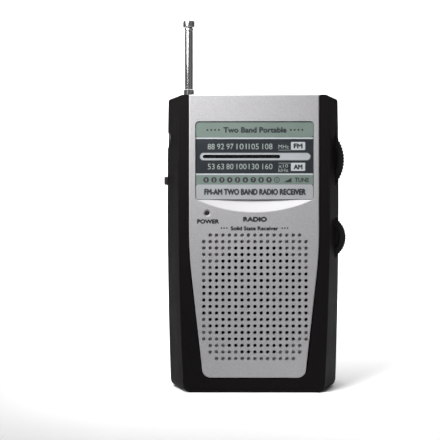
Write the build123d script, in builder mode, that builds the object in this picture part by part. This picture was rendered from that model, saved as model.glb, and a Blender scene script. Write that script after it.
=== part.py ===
"""Two-band transistor pocket radio with a telescopic antenna.

Millimetres. The radio stands upright: +Z up, the front faces -Y, the back +Y. The
origin is on the flat base, midway across, a little in front of the parting line.
"""

from build123d import *
from math import acos, atan2, ceil, cos, degrees, hypot, pi, radians, sin, sqrt, tan
import os

os.makedirs("parts", exist_ok=True)

# ---------------------------------------------------------------- driving dimensions
# Depths along Y, from the front to the back.
panel_face = -13.3
cabinet_face = -13.0
panel_back = -11.5
backing_back = -10.3
parting = -2.0
board_front = 1.0
board_back = 2.2
back_inside = 11.2
back_face = 13.0

# Case: half-widths at the top, the middle and the bottom of each section.
case_height = 105.0
wall = 1.8
sole_trim = 0.02
front_half_widths = (26.2, 26.6, 24.8)
parting_half_widths = (30.9, 31.2, 30.0)
back_half_widths = (30.5, 30.8, 29.6)
front_corners = (1.2, 3.0)
parting_corners = (0.8, 3.2)
back_corners = (4.2, 5.0)
back_edge_radius = 3.4

# Silver front panel: straight sides, a wide bend, then a gentle taper to the foot.
panel_half_width = 22.95
panel_bottom = 5.2
panel_bend_start = 57.5
panel_bend_radius = 145.0
panel_taper_angle = 6.4
panel_corner = 3.0
panel_edge_radius = 0.45
panel_gap = 0.35

# Dial plate, its slot and the scoop below it.
plate_left, plate_right = -20.75, 21.0
plate_bottom, plate_top = 67.9, 95.6
plate_corner = 1.3
plate_face, plate_back = -12.9, -12.1
slot_left, slot_right = -18.1, 9.2
slot_bottom, slot_top = 82.55, 83.8
scoop_x, scoop_low = 0.2, 63.4
scoop_radius = 49.7
scoop_rise = 4.5
scoop_depth = 1.2

# Grille: one square grid of holes, drilled through in front of the speaker.
hole_pitch, row_pitch = 2.25, 2.285
hole_columns, hole_rows = 17, 20
hole_centre_x, hole_top = 0.3, 55.45
hole_radius, hole_mouth_radius, hole_mouth_depth = 0.56, 0.68, 0.3
blind_hole_depth = 0.95
speaker_x, speaker_z = 1.4, 32.8
speaker_open_radius = 19.8
speaker_radius = 22.4
grille_opening_radius = 20.8

# Power lamp.
lamp_x, lamp_z = -16.5, 63.2
lamp_nose_radius, lamp_recess_radius, lamp_body_radius = 0.72, 1.3, 1.45

# Tuning drive: wheel gear, idler and rack in mesh.
module = 0.8
pressure_angle = 20.0
backlash = 0.12
wheel_teeth, idler_teeth = 18, 26
wheel_x, wheel_z = 19.0, 82.5
wheel_radius = 13.9
wheel_front, wheel_back = -5.6, -2.3
wheel_gap = 0.35
wheel_slot_front = -6.1
knurl_radius, knurl_set = 0.42, 0.15
pointer_x = 4.6
pointer_low, pointer_high = -16.0, 6.2
rack_line = 90.23

# Volume wheel.
volume_x, volume_z = 25.1, 54.6
volume_radius = 8.4

# Band switch.
switch_z = 75.15
switch_travel = 3.0
switch_nub_half, switch_slot_play = 1.45, 0.3

# Earphone jack.
jack_z = 90.0
jack_bore_radius, jack_bore_length = 1.8, 14.0
jack_seat_radius = 3.0

# Antenna.
antenna_x, antenna_y = -23.8, 6.0
antenna_mouth = 109.6
antenna_shown = 131.6
antenna_foot = 22.0
antenna_radii = (1.95, 1.55, 1.15, 0.75)
antenna_play = 0.05
section_length = 80.0
knob_radius, knob_neck, knob_height = 2.2, 1.6, 4.4
knob_gap = 0.05
bracket_post_x, bracket_post_z = -19.0, 33.0

# Battery bay: two AA cells side by side.
cell_radius, cell_length = 7.1, 49.2
cell_x, cell_y = 7.4, 3.85
bay_half_width = 15.0
bay_bottom, bay_top = 3.0, 61.0
bay_front = -3.6
bay_wall = 1.2
door_half_width, door_top = 16.0, 61.6
door_inside = 11.5
door_gap = 0.15
tongue_half_width = 16.85
grip_grooves, grip_pitch, grip_groove, grip_low = 6, 1.6, 0.8, 50.0

# Fasteners.
case_screw_head, case_screw_seat, case_screw_recess = 2.0, 5.0, 6.5
cross_slot_half_width, cross_slot_depth = 0.25, 0.5
case_screw_places = ((24.6, 98.4), (22.8, 6.2), (-22.4, 6.2))
board_screw_places = ((0.0, 101.0), (-19.5, 66.8), (20.0, 66.2))
bracket_half_width, bracket_front, bracket_back = 22.0, -8.0, -7.0
bracket_screw_places = ((-19.0, 96.6), (20.5, 96.6))


# ---------------------------------------------------------------------------- helpers
def facing(y):
    """Plane at depth y that looks out of the front: its X is +X and its Y is +Z."""
    return Plane.XZ.offset(-y)


def axial_plane(x, z):
    """Level plane through (x, z): radius from that axis across, depth along +Y."""
    return Plane(origin=(x, 0, z), x_dir=(1, 0, 0), z_dir=(0, 0, 1))


def depth_axis(x, z):
    """Axis through (x, z), running from the front to the back."""
    return Axis((x, 0, z), (0, 1, 0))


def peg(x, z, radius, front, back, mode=Mode.ADD):
    """Round peg or hole along Y between two depths."""
    with Locations(Plane(origin=(x, back, z), x_dir=(1, 0, 0), z_dir=(0, -1, 0))):
        Cylinder(radius, back - front, align=(Align.CENTER, Align.CENTER, Align.MIN), mode=mode)


def column(x, y, radius, low, high, mode=Mode.ADD):
    """Round rod or hole along Z between two heights."""
    with Locations((x, y, low)):
        Cylinder(radius, high - low, align=(Align.CENTER, Align.CENTER, Align.MIN), mode=mode)


def crossbar(y, z, radius, left, right, mode=Mode.ADD):
    """Round rod or hole along X between two places."""
    with Locations(Plane(origin=(left, y, z), x_dir=(0, 1, 0), z_dir=(1, 0, 0))):
        Cylinder(radius, right - left, align=(Align.CENTER, Align.CENTER, Align.MIN), mode=mode)


def block(across, deep, tall, mode=Mode.ADD):
    """Box between (low, high) pairs along X, Y and Z."""
    with Locations(((across[0] + across[1]) / 2, (deep[0] + deep[1]) / 2, (tall[0] + tall[1]) / 2)):
        Box(across[1] - across[0], deep[1] - deep[0], tall[1] - tall[0], mode=mode)


def case_outline(y, half_widths, corners, inset=0.0):
    """Section of the case at depth y: level ends, slightly bowed sides, round corners."""
    top, middle, bottom = (half - inset for half in half_widths)
    high, low = case_height - inset, inset - sole_trim
    with BuildSketch(facing(y)) as outline:
        with BuildLine():
            Line((-bottom, low), (bottom, low))
            ThreePointArc((bottom, low), (middle, case_height / 2), (top, high))
            Line((top, high), (-top, high))
            ThreePointArc((-top, high), (-middle, case_height / 2), (-bottom, low))
        make_face()
        fillet(outline.vertices().group_by(Axis.Y)[-1], radius=corners[0])
        fillet(outline.vertices().group_by(Axis.Y)[0], radius=corners[1])
    return outline.sketch


def flatten_sole():
    """Plane the underside of the lofted case off flat at Z = 0."""
    block((-40.0, 40.0), (-20.0, 20.0), (-1.0, 0.0), Mode.SUBTRACT)


def panel_outline(y, grow=0.0, top=case_height):
    """Outline of the silver panel at depth y, or of its pocket when grown by the gap."""
    half = panel_half_width + grow
    bend_height = panel_bend_radius * sin(radians(panel_taper_angle))
    bend_inset = panel_bend_radius * (1 - cos(radians(panel_taper_angle)))
    taper = (panel_bend_start - bend_height - panel_bottom + grow) * tan(radians(panel_taper_angle))
    knee = half - bend_inset
    bend_middle = panel_bend_radius * sin(radians(panel_taper_angle / 2))
    middle = half - panel_bend_radius * (1 - cos(radians(panel_taper_angle / 2)))
    low = panel_bottom - grow
    with BuildSketch(facing(y)) as outline:
        with BuildLine():
            Line((knee - taper, low), (knee, panel_bend_start - bend_height))
            ThreePointArc(
                (knee, panel_bend_start - bend_height),
                (middle, panel_bend_start - bend_middle),
                (half, panel_bend_start),
            )
            Line((half, panel_bend_start), (half, top))
            Line((half, top), (0, top))
            Line((0, low), (knee - taper, low))
            mirror(about=Plane.YZ)
        make_face()
        fillet(outline.vertices().group_by(Axis.Y)[0].sort_by(Axis.X)[0], radius=panel_corner + grow)
        fillet(outline.vertices().group_by(Axis.Y)[0].sort_by(Axis.X)[-1], radius=panel_corner + grow)
    return outline.sketch


def plate_outline(y, shrink=0.0):
    """Outline of the dial plate at depth y, or of its recess."""
    width = plate_right - plate_left - 2 * shrink
    height = plate_top - plate_bottom - 2 * shrink
    with BuildSketch(facing(y)) as outline:
        with Locations(((plate_left + plate_right) / 2, (plate_bottom + plate_top) / 2)):
            RectangleRounded(width, height, plate_corner)
    return outline.sketch


def grille_places():
    """Centres of the grille's holes: those through to the speaker, and the blind ones."""
    through, blind = [], []
    for row in range(hole_rows):
        missing = 1 if row in (0, hole_rows - 3, hole_rows - 2) else 0
        missing = 2 if row == hole_rows - 1 else missing
        for column_number in range(missing, hole_columns - missing):
            x = hole_centre_x + hole_pitch * (column_number - (hole_columns - 1) / 2)
            z = hole_top - row_pitch * row
            near = hypot(x - speaker_x, z - speaker_z) <= speaker_open_radius
            (through if near else blind).append((x, z))
    return through, blind


def involute_half_angle(teeth, radius):
    """Half the angle of a tooth at a radius, with the flanks set back for backlash."""
    pitch_radius = module * teeth / 2
    base_radius = pitch_radius * cos(radians(pressure_angle))
    pressure = acos(min(1.0, base_radius / radius))
    involute = tan(pressure) - pressure
    pitch_involute = tan(radians(pressure_angle)) - radians(pressure_angle)
    return (pi * module / 2 - backlash) / (2 * pitch_radius) + pitch_involute - involute


def gear_outline(y, x, z, teeth, first_tooth):
    """Spur gear at (x, z) with a tooth centred on the angle first_tooth, in degrees."""
    pitch_radius = module * teeth / 2
    root, tip = pitch_radius - 1.15 * module, pitch_radius + 0.9 * module
    base = pitch_radius * cos(radians(pressure_angle))
    flank_radii = [max(base, root) + (tip - max(base, root)) * step / 4 for step in range(5)]
    points = []
    for tooth in range(teeth):
        centre = radians(first_tooth) + 2 * pi * tooth / teeth
        widest = involute_half_angle(teeth, flank_radii[0])
        flank = [(root, widest)] if root < base else []
        flank += [(radius, involute_half_angle(teeth, radius)) for radius in flank_radii]
        for radius, half in flank:
            points.append((x + radius * cos(centre - half), z + radius * sin(centre - half)))
        for radius, half in reversed(flank):
            points.append((x + radius * cos(centre + half), z + radius * sin(centre + half)))
    with BuildSketch(facing(y)) as outline:
        with BuildLine():
            Polyline(*points, close=True)
        make_face()
    return outline.sketch


def rack_outline(y, first_gap, left, right, top):
    """Toothed bar, teeth down: it reaches from left to right and ends on half teeth."""
    pitch = pi * module
    slope = tan(radians(pressure_angle))
    gap_half = pitch / 4 + backlash / 2
    root, tip = rack_line + 1.15 * module, rack_line - 0.9 * module
    tip_half = gap_half + (rack_line - tip) * slope
    root_half = gap_half - (root - rack_line) * slope
    gaps_left = ceil((first_gap - left) / pitch - 0.5)
    gaps_right = ceil((right - first_gap) / pitch - 0.5)
    left_end = first_gap - (gaps_left + 0.5) * pitch
    right_end = first_gap + (gaps_right + 0.5) * pitch
    points = [(left_end, tip)]
    for gap in range(-gaps_left, gaps_right + 1):
        centre = first_gap + gap * pitch
        points.append((centre - tip_half, tip))
        points.append((centre - root_half, root))
        points.append((centre + root_half, root))
        points.append((centre + tip_half, tip))
    points += [(right_end, tip), (right_end, top), (left_end, top)]
    with BuildSketch(facing(y)) as outline:
        with BuildLine():
            Polyline(*points, close=True)
        make_face()
    return outline.sketch


def finish(piece, name):
    """Name a finished piece and write it."""
    piece.part.label = name
    export_step(piece.part, "parts/" + name + ".step")


# ----------------------------------------------------------------- tuning drive layout
wheel_pitch_radius = module * wheel_teeth / 2
idler_pitch_radius = module * idler_teeth / 2
idler_z = rack_line - idler_pitch_radius
idler_x = wheel_x - sqrt((wheel_pitch_radius + idler_pitch_radius) ** 2 - (wheel_z - idler_z) ** 2)
mesh_angle = degrees(atan2(idler_z - wheel_z, idler_x - wheel_x))
idler_tooth_angle = 360 / idler_teeth
idler_first_tooth = mesh_angle + 180 + idler_tooth_angle / 2
top_tooth_offset = (idler_first_tooth - 90) % idler_tooth_angle
rack_first_gap = idler_x - idler_pitch_radius * radians(top_tooth_offset)
rack_left = pointer_x + idler_x - pointer_high
rack_right = pointer_x + idler_x - pointer_low

# ----------------------------------------------------------------------- front cabinet
with BuildPart() as front_cabinet:
    loft(
        [
            case_outline(cabinet_face, front_half_widths, front_corners),
            case_outline(parting, parting_half_widths, parting_corners),
        ],
        ruled=True,
    )
    flatten_sole()
    # Hollow behind the front wall: its section widens towards the parting line.
    share = (backing_back - cabinet_face) / (parting - cabinet_face)
    backing_half_widths = [
        front + share * (rear - front) for front, rear in zip(front_half_widths, parting_half_widths)
    ]
    loft(
        [
            case_outline(backing_back, backing_half_widths, (1.0, 1.6), wall),
            case_outline(parting, parting_half_widths, (1.0, 1.6), wall),
        ],
        ruled=True,
        mode=Mode.SUBTRACT,
    )
    # Pocket for the silver panel, open at the top.
    extrude(
        panel_outline(panel_back, panel_gap, case_height + 1),
        amount=panel_back - panel_face,
        mode=Mode.SUBTRACT,
    )
    # Openings in the wall behind the panel: speaker, pointer and lamp.
    peg(speaker_x, speaker_z, grille_opening_radius, -12.0, -10.0, Mode.SUBTRACT)
    block((pointer_low - 2.2, pointer_high + 2.2), (-12.0, -10.0), (82.2, 93.5), Mode.SUBTRACT)
    peg(lamp_x, lamp_z, lamp_body_radius + 0.05, -12.0, -10.0, Mode.SUBTRACT)
    # Posts for the case screws, the circuit board and the dial bracket.
    for x, z in case_screw_places:
        peg(x, z, 2.3, backing_back - 0.2, -0.3)
        peg(x, z, 1.0, -8.6, 0.0, Mode.SUBTRACT)
    for x, z in board_screw_places:
        peg(x, z, 1.9, backing_back - 0.2, board_front)
        peg(x, z, 0.9, -4.5, board_front, Mode.SUBTRACT)
    for x, z in bracket_screw_places:
        peg(x, z, 1.8, backing_back - 0.2, bracket_front)
        peg(x, z, 0.8, -10.6, bracket_front, Mode.SUBTRACT)
    # Hole for the idler's pin.
    peg(idler_x, idler_z, 1.0, -12.0, -10.0, Mode.SUBTRACT)
    # Slots in the right-hand edge for the two wheels, closed by the rear cabinet.
    peg(wheel_x, wheel_z, wheel_radius + wheel_gap, wheel_slot_front, parting + 0.5, Mode.SUBTRACT)
    peg(volume_x, volume_z, volume_radius + wheel_gap, wheel_slot_front, parting + 0.5, Mode.SUBTRACT)
    # Half of the hole for the earphone jack.
    crossbar(parting, jack_z, jack_seat_radius, -34.0, -25.0, Mode.SUBTRACT)
finish(front_cabinet, "front_cabinet")

# ------------------------------------------------------------------------ rear cabinet
with BuildPart() as rear_form:
    loft(
        [
            case_outline(parting, parting_half_widths, parting_corners),
            case_outline(back_face, back_half_widths, back_corners),
        ],
        ruled=True,
    )
    flatten_sole()
    fillet(rear_form.faces().sort_by(Axis.Y)[-1].edges(), radius=back_edge_radius)

with BuildPart() as rear_cabinet:
    add(rear_form.part)
    loft(
        [
            case_outline(parting, parting_half_widths, (1.0, 1.6), wall),
            case_outline(back_inside, back_half_widths, (2.4, 3.2), wall),
        ],
        ruled=True,
        mode=Mode.SUBTRACT,
    )
    # Battery bay: a box let down from the back, with ribs that join it to the back.
    bay_outside = bay_half_width + bay_wall
    block((-bay_outside, bay_outside), (bay_front - bay_wall, 11.4), (2.0, bay_top + bay_wall))
    block((-bay_outside, bay_outside), (parting + 0.1, 11.4), (1.0, 2.1))
    block((-18.4, 18.4), (9.4, 11.4), (2.0, bay_top + bay_wall))
    block((-bay_half_width, bay_half_width), (bay_front, 12.0), (bay_bottom, bay_top), Mode.SUBTRACT)
    # Doorway, with a groove down each side for the door's tongues.
    doorway = door_half_width + door_gap
    groove_reach = tongue_half_width + door_gap
    block((-doorway, doorway), (11.4, 14.0), (-1.0, door_top + 0.2), Mode.SUBTRACT)
    block((-groove_reach, groove_reach), (11.4, 12.4), (-1.0, door_top + 0.2), Mode.SUBTRACT)
    # Posts over the case screws.
    for x, z in case_screw_places:
        peg(x, z, 3.2, -0.2, back_inside + 0.2)
        peg(x, z, 1.2, -0.3, case_screw_seat + 1.0, Mode.SUBTRACT)
        peg(x, z, case_screw_head + 0.2, case_screw_seat, 14.0, Mode.SUBTRACT)
    # Hole in the top for the antenna and a post for its bracket.
    column(antenna_x, antenna_y, antenna_radii[0] + 0.05, 100.0, 107.0, Mode.SUBTRACT)
    peg(bracket_post_x, bracket_post_z, 1.8, 8.2, back_inside + 0.2)
    peg(bracket_post_x, bracket_post_z, 0.8, 8.2, 10.8, Mode.SUBTRACT)
    # Slot in the left-hand edge for the band switch.
    slot_half = switch_nub_half + switch_slot_play
    slot_span = (switch_z - slot_half, switch_z + slot_half + switch_travel)
    block((-34.0, -28.0), (parting - 0.5, 0.95), slot_span, Mode.SUBTRACT)
    # Half of the hole for the earphone jack.
    crossbar(parting, jack_z, jack_seat_radius, -34.0, -25.0, Mode.SUBTRACT)
finish(rear_cabinet, "rear_cabinet")

with BuildPart() as battery_door:
    add(rear_form.part)
    block((-door_half_width, door_half_width), (door_inside, 14.0), (-1.0, door_top), Mode.INTERSECT)
    # Tongues that run in the cabinet's grooves.
    block((-tongue_half_width, tongue_half_width), (door_inside, 12.3), (4.0, door_top - 2.0))
    # Grip: shallow grooves across the top of the door.
    for groove in range(grip_grooves):
        low = grip_low + grip_pitch * groove
        block((-6.0, 6.0), (12.6, 14.0), (low, low + grip_groove), Mode.SUBTRACT)
finish(battery_door, "battery_door")

with BuildPart() as case_screws:
    for x, z in case_screw_places:
        peg(x, z, case_screw_head, case_screw_seat, case_screw_recess)
        peg(x, z, 1.0, -8.0, case_screw_seat)
        slot_depths = (case_screw_recess - cross_slot_depth, case_screw_recess + 0.1)
        reach, thin = case_screw_head - 0.5, cross_slot_half_width
        block((x - reach, x + reach), slot_depths, (z - thin, z + thin), Mode.SUBTRACT)
        block((x - thin, x + thin), slot_depths, (z - reach, z + reach), Mode.SUBTRACT)
finish(case_screws, "case_screws")

# ------------------------------------------------------------------------- front panel
through_holes, blind_holes = grille_places()

with BuildPart(facing(panel_face + scoop_depth)) as scoop:
    with Locations((scoop_x, scoop_low + scoop_radius)):
        Cone(
            scoop_radius - scoop_rise,
            scoop_radius,
            scoop_depth,
            align=(Align.CENTER, Align.CENTER, Align.MIN),
        )
    with Locations((0, plate_bottom)):
        Box(200, 200, 10, align=(Align.CENTER, Align.MIN, Align.CENTER), mode=Mode.SUBTRACT)

with BuildPart() as hole_cutters:
    with BuildSketch(facing(panel_back)):
        with Locations(*through_holes):
            Circle(hole_radius)
    extrude(amount=panel_back - panel_face)
    with BuildSketch(facing(panel_face + blind_hole_depth)):
        with Locations(*blind_holes):
            Circle(hole_radius)
    extrude(amount=blind_hole_depth)

with BuildPart() as front_panel:
    extrude(panel_outline(panel_back), amount=panel_back - panel_face)
    fillet(front_panel.faces().sort_by(Axis.Y)[0].edges(), radius=panel_edge_radius)
    # Recess for the dial plate, and the opening behind its slot.
    extrude(plate_outline(plate_back), amount=2.0, mode=Mode.SUBTRACT)
    block((slot_left - 1.3, slot_right + 1.3), (-12.5, -11.0), (81.8, 84.55), Mode.SUBTRACT)
    add(scoop.part, mode=Mode.SUBTRACT)
    # Lamp hole in its conical recess.
    peg(lamp_x, lamp_z, lamp_nose_radius + 0.03, -14.0, -11.0, Mode.SUBTRACT)
    with Locations(Plane(origin=(lamp_x, panel_face + 0.7, lamp_z), x_dir=(1, 0, 0), z_dir=(0, -1, 0))):
        Cone(
            lamp_nose_radius + 0.03,
            lamp_recess_radius,
            0.7,
            align=(Align.CENTER, Align.CENTER, Align.MIN),
            mode=Mode.SUBTRACT,
        )
    # Grille.
    add(hole_cutters.part, mode=Mode.SUBTRACT)
    with Locations(
        *[
            Plane(origin=(x, panel_face + hole_mouth_depth, z), x_dir=(1, 0, 0), z_dir=(0, -1, 0))
            for x, z in through_holes + blind_holes
        ]
    ):
        Cone(
            hole_radius,
            hole_mouth_radius,
            hole_mouth_depth,
            align=(Align.CENTER, Align.CENTER, Align.MIN),
            mode=Mode.SUBTRACT,
        )
finish(front_panel, "front_panel")

with BuildPart() as dial_plate:
    extrude(plate_outline(plate_back, 0.1), amount=plate_back - plate_face)
    with BuildSketch(facing(plate_back)):
        with Locations(((slot_left + slot_right) / 2, (slot_bottom + slot_top) / 2)):
            SlotOverall(slot_right - slot_left, slot_top - slot_bottom)
    extrude(amount=2.0, mode=Mode.SUBTRACT)
    fillet(dial_plate.faces().sort_by(Axis.Y)[0].outer_wire().edges(), radius=0.15)
finish(dial_plate, "dial_plate")

with BuildPart() as dial_window:
    block((slot_left - 1.2, slot_right + 1.2), (plate_back, -11.7), (81.9, 84.45))
finish(dial_window, "dial_window")

with BuildPart() as speaker_cloth:
    peg(speaker_x, speaker_z, grille_opening_radius - 0.1, panel_back, panel_back + 0.25)
finish(speaker_cloth, "speaker_cloth")

with BuildPart() as power_lamp:
    peg(lamp_x, lamp_z, lamp_body_radius, panel_back, -8.4)
    peg(lamp_x, lamp_z, lamp_nose_radius, -12.6, panel_back)
    fillet(power_lamp.edges().group_by(Axis.Y)[0], radius=0.5)
    peg(lamp_x - 0.6, lamp_z, 0.25, -8.4, board_front)
    peg(lamp_x + 0.6, lamp_z, 0.25, -8.4, board_front)
finish(power_lamp, "power_lamp")

# ------------------------------------------------------------------------ tuning drive
with BuildPart() as tuning_wheel:
    with BuildSketch(facing(wheel_back)):
        with Locations((wheel_x, wheel_z)):
            Circle(wheel_radius)
            with PolarLocations(wheel_radius + knurl_set, 72):
                Circle(knurl_radius, mode=Mode.SUBTRACT)
    extrude(amount=wheel_back - wheel_front)
    # Dished faces leave a rim and a hub.
    for front, back in ((wheel_front - 0.1, wheel_front + 0.7), (wheel_back - 0.7, wheel_back + 0.1)):
        with BuildSketch(facing(back)):
            with Locations((wheel_x, wheel_z)):
                Circle(wheel_radius - 2.4)
                Circle(8.6, mode=Mode.SUBTRACT)
        extrude(amount=back - front, mode=Mode.SUBTRACT)
    extrude(
        gear_outline(wheel_front, wheel_x, wheel_z, wheel_teeth, mesh_angle),
        amount=2.3,
    )
    peg(wheel_x, wheel_z, 2.0, -6.8, wheel_back, Mode.SUBTRACT)
    peg(wheel_x, wheel_z, 1.1, -8.0, -6.0, Mode.SUBTRACT)
    peg(wheel_x, wheel_z, 2.3, -8.0, -7.2, Mode.SUBTRACT)
finish(tuning_wheel, "tuning_wheel")

with BuildPart() as tuning_shaft:
    peg(wheel_x, wheel_z, 2.0, -6.8, 3.8)
    peg(wheel_x, wheel_z, 1.0, -6.8, -3.4, Mode.SUBTRACT)
finish(tuning_shaft, "tuning_shaft")

with BuildPart() as tuning_wheel_screw:
    peg(wheel_x, wheel_z, 2.1, -8.0, -7.2)
    peg(wheel_x, wheel_z, 1.0, -7.2, -3.6)
    block((wheel_x - 1.6, wheel_x + 1.6), (-8.1, -7.6), (wheel_z - 0.25, wheel_z + 0.25), Mode.SUBTRACT)
finish(tuning_wheel_screw, "tuning_wheel_screw")

with BuildPart() as tuning_capacitor:
    block((wheel_x - 8.0, wheel_x + 8.0), (board_back, 10.8), (wheel_z - 8.0, wheel_z + 8.0))
    fillet(tuning_capacitor.edges().filter_by(Axis.Y), radius=1.0)
    peg(wheel_x, wheel_z, 3.0, -0.6, board_back)
    peg(wheel_x, wheel_z, 2.05, -0.6, 4.0, Mode.SUBTRACT)
    for x in (wheel_x - 5.5, wheel_x, wheel_x + 5.5):
        block((x - 0.5, x + 0.5), (board_front - 0.8, board_back), (wheel_z - 7.6, wheel_z - 7.2))
finish(tuning_capacitor, "tuning_capacitor")

with BuildPart() as idler_gear:
    extrude(gear_outline(-6.1, idler_x, idler_z, idler_teeth, idler_first_tooth), amount=3.8)
    peg(idler_x, idler_z, 1.05, -10.0, -6.0, Mode.SUBTRACT)
    with BuildSketch(facing(-6.1)):
        with Locations((idler_x, idler_z)):
            with PolarLocations(5.6, 5):
                Circle(1.9)
    extrude(amount=4.0, mode=Mode.SUBTRACT)
finish(idler_gear, "idler_gear")

with BuildPart() as idler_pin:
    peg(idler_x, idler_z, 1.0, panel_back, -5.9)
    peg(idler_x, idler_z, 1.8, -6.0, -5.2)
    fillet(idler_pin.edges().group_by(Axis.Y)[-1], radius=0.4)
finish(idler_pin, "idler_pin")

with BuildPart() as pointer_rack:
    extrude(rack_outline(-8.2, rack_first_gap, rack_left, rack_right, 93.0), amount=1.8)
    # Arm that hangs in the window behind the dial slot.
    block((pointer_x - 1.5, pointer_x + 1.5), (-11.3, -10.1), (82.4, 93.0))
    block((pointer_x - 1.5, pointer_x + 1.5), (-10.2, -9.9), (91.3, 93.0))
finish(pointer_rack, "pointer_rack")

with BuildPart() as pointer_needle:
    block((pointer_x - 0.4, pointer_x + 0.4), (panel_back, -11.3), (82.4, 92.0))
finish(pointer_needle, "pointer_needle")

with BuildPart() as dial_bracket:
    span = (-bracket_half_width, bracket_half_width)
    block(span, (bracket_front, bracket_back), (91.7, 98.6))
    block(span, (backing_back, bracket_front), (93.1, 94.3))
    for x, z in bracket_screw_places:
        peg(x, z, 0.9, bracket_front - 0.5, bracket_back + 0.5, Mode.SUBTRACT)
    fillet(dial_bracket.edges().filter_by(Axis.Y).group_by(Axis.Z)[-1], radius=1.2)
finish(dial_bracket, "dial_bracket")

with BuildPart() as dial_bracket_screws:
    for x, z in bracket_screw_places:
        peg(x, z, 1.6, bracket_back, bracket_back + 0.8)
        peg(x, z, 0.8, -10.2, bracket_back)
finish(dial_bracket_screws, "dial_bracket_screws")

# ------------------------------------------------------------------------------ volume
with BuildPart() as volume_wheel:
    with BuildSketch(facing(-2.4)):
        with Locations((volume_x, volume_z)):
            Circle(volume_radius)
            with PolarLocations(volume_radius + knurl_set, 54):
                Circle(knurl_radius, mode=Mode.SUBTRACT)
    extrude(amount=3.2)
    with BuildSketch(facing(-4.7)):
        with Locations((volume_x, volume_z)):
            Circle(volume_radius - 2.2)
            Circle(3.0, mode=Mode.SUBTRACT)
    extrude(amount=1.0, mode=Mode.SUBTRACT)
    peg(volume_x, volume_z, 2.0, -2.5, 0.4)
    peg(volume_x, volume_z, 1.9, -5.7, -4.8, Mode.SUBTRACT)
    peg(volume_x, volume_z, 0.8, -5.0, -1.0, Mode.SUBTRACT)
finish(volume_wheel, "volume_wheel")

with BuildPart() as volume_screw:
    peg(volume_x, volume_z, 1.6, -5.5, -4.8)
    peg(volume_x, volume_z, 0.8, -4.8, -1.2)
    block((volume_x - 1.2, volume_x + 1.2), (-5.6, -5.2), (volume_z - 0.2, volume_z + 0.2), Mode.SUBTRACT)
finish(volume_screw, "volume_screw")

with BuildPart() as volume_control:
    peg(volume_x, volume_z, 4.1, -2.0, board_front)
    block((volume_x - 5.0, volume_x + 3.0), (-1.6, board_front), (volume_z - 7.6, volume_z - 2.0))
    peg(volume_x, volume_z, 2.05, -2.0, 0.6, Mode.SUBTRACT)
finish(volume_control, "volume_control")

# ------------------------------------------------------------------------- band switch
with BuildPart() as band_switch_knob:
    # Nub, cover plate inside the slot, and the tongue that moves the switch.
    block((-32.6, -28.4), (-1.8, 0.75), (switch_z - switch_nub_half, switch_z + switch_nub_half))
    fillet(band_switch_knob.edges().group_by(Axis.X)[0], radius=0.5)
    for ridge in (-0.85, 0.0, 0.85):
        block((-32.8, -32.35), (-2.0, 1.0), (switch_z + ridge - 0.15, switch_z + ridge + 0.15), Mode.SUBTRACT)
    block((-28.5, -27.9), (-2.6, 1.6), (switch_z - 5.0, switch_z + 5.0))
    block((-28.0, -25.6), (-1.6, -0.2), (switch_z - 0.9, switch_z + 0.9))
finish(band_switch_knob, "band_switch_knob")

with BuildPart() as band_switch:
    block((-27.0, -21.4), (-3.4, board_front), (switch_z - 3.6, switch_z + 3.6 + switch_travel))
    block(
        (-27.2, -25.2),
        (-1.75, -0.05),
        (switch_z - 1.3, switch_z + 1.3 + switch_travel),
        Mode.SUBTRACT,
    )
finish(band_switch, "band_switch")

# ---------------------------------------------------------------------------- speaker
with BuildPart() as speaker_basket:
    with BuildSketch(axial_plane(speaker_x, speaker_z)):
        with BuildLine():
            Polyline(
                (20.0, -10.3),
                (speaker_radius, -10.3),
                (speaker_radius, -9.5),
                (20.4, -9.5),
                (10.0, -6.9),
                (0.0, -6.9),
                (0.0, -7.5),
                (9.8, -7.5),
                (19.6, -9.7),
                close=True,
            )
        make_face()
    revolve(axis=depth_axis(speaker_x, speaker_z))
    # Windows between the basket's legs.
    with BuildSketch(facing(-6.0)):
        with Locations((speaker_x, speaker_z)):
            with PolarLocations(14.8, 6, start_angle=30):
                SlotCenterToCenter(6.0, 5.0, rotation=90)
    extrude(amount=3.4, mode=Mode.SUBTRACT)
finish(speaker_basket, "speaker_basket")

with BuildPart() as speaker_cone:
    with BuildSketch(axial_plane(speaker_x, speaker_z)):
        with BuildLine():
            Polyline(
                (19.7, -10.3),
                (19.7, -10.0),
                (18.6, -10.0),
                (6.0, -7.9),
                (4.5, -7.9),
                (4.5, -8.2),
                (6.0, -8.2),
                (18.4, -10.3),
                close=True,
            )
        make_face()
    revolve(axis=depth_axis(speaker_x, speaker_z))
finish(speaker_cone, "speaker_cone")

with BuildPart() as speaker_dust_cap:
    with BuildSketch(axial_plane(speaker_x, speaker_z)):
        with BuildLine():
            Polyline(
                (0.0, -9.9),
                (2.4, -9.75),
                (4.4, -9.2),
                (6.0, -8.2),
                (5.4, -8.2),
                (4.1, -8.95),
                (2.2, -9.45),
                (0.0, -9.6),
                close=True,
            )
        make_face()
    revolve(axis=depth_axis(speaker_x, speaker_z))
finish(speaker_dust_cap, "speaker_dust_cap")

with BuildPart() as speaker_magnet:
    peg(speaker_x, speaker_z, 8.5, -6.9, -5.0)
    fillet(speaker_magnet.edges().group_by(Axis.Y)[-1], radius=0.5)
finish(speaker_magnet, "speaker_magnet")

# ----------------------------------------------------------------------- earphone jack
with BuildPart() as earphone_jack:
    block((-27.2, -15.0), (-5.0, board_front), (jack_z - 3.2, jack_z + 3.2))
    fillet(earphone_jack.edges().filter_by(Axis.X), radius=0.6)
    crossbar(parting, jack_z, 2.9, -30.7, -27.0)
    crossbar(parting, jack_z, jack_bore_radius, -31.0, -30.7 + jack_bore_length, Mode.SUBTRACT)
finish(earphone_jack, "earphone_jack")

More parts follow.
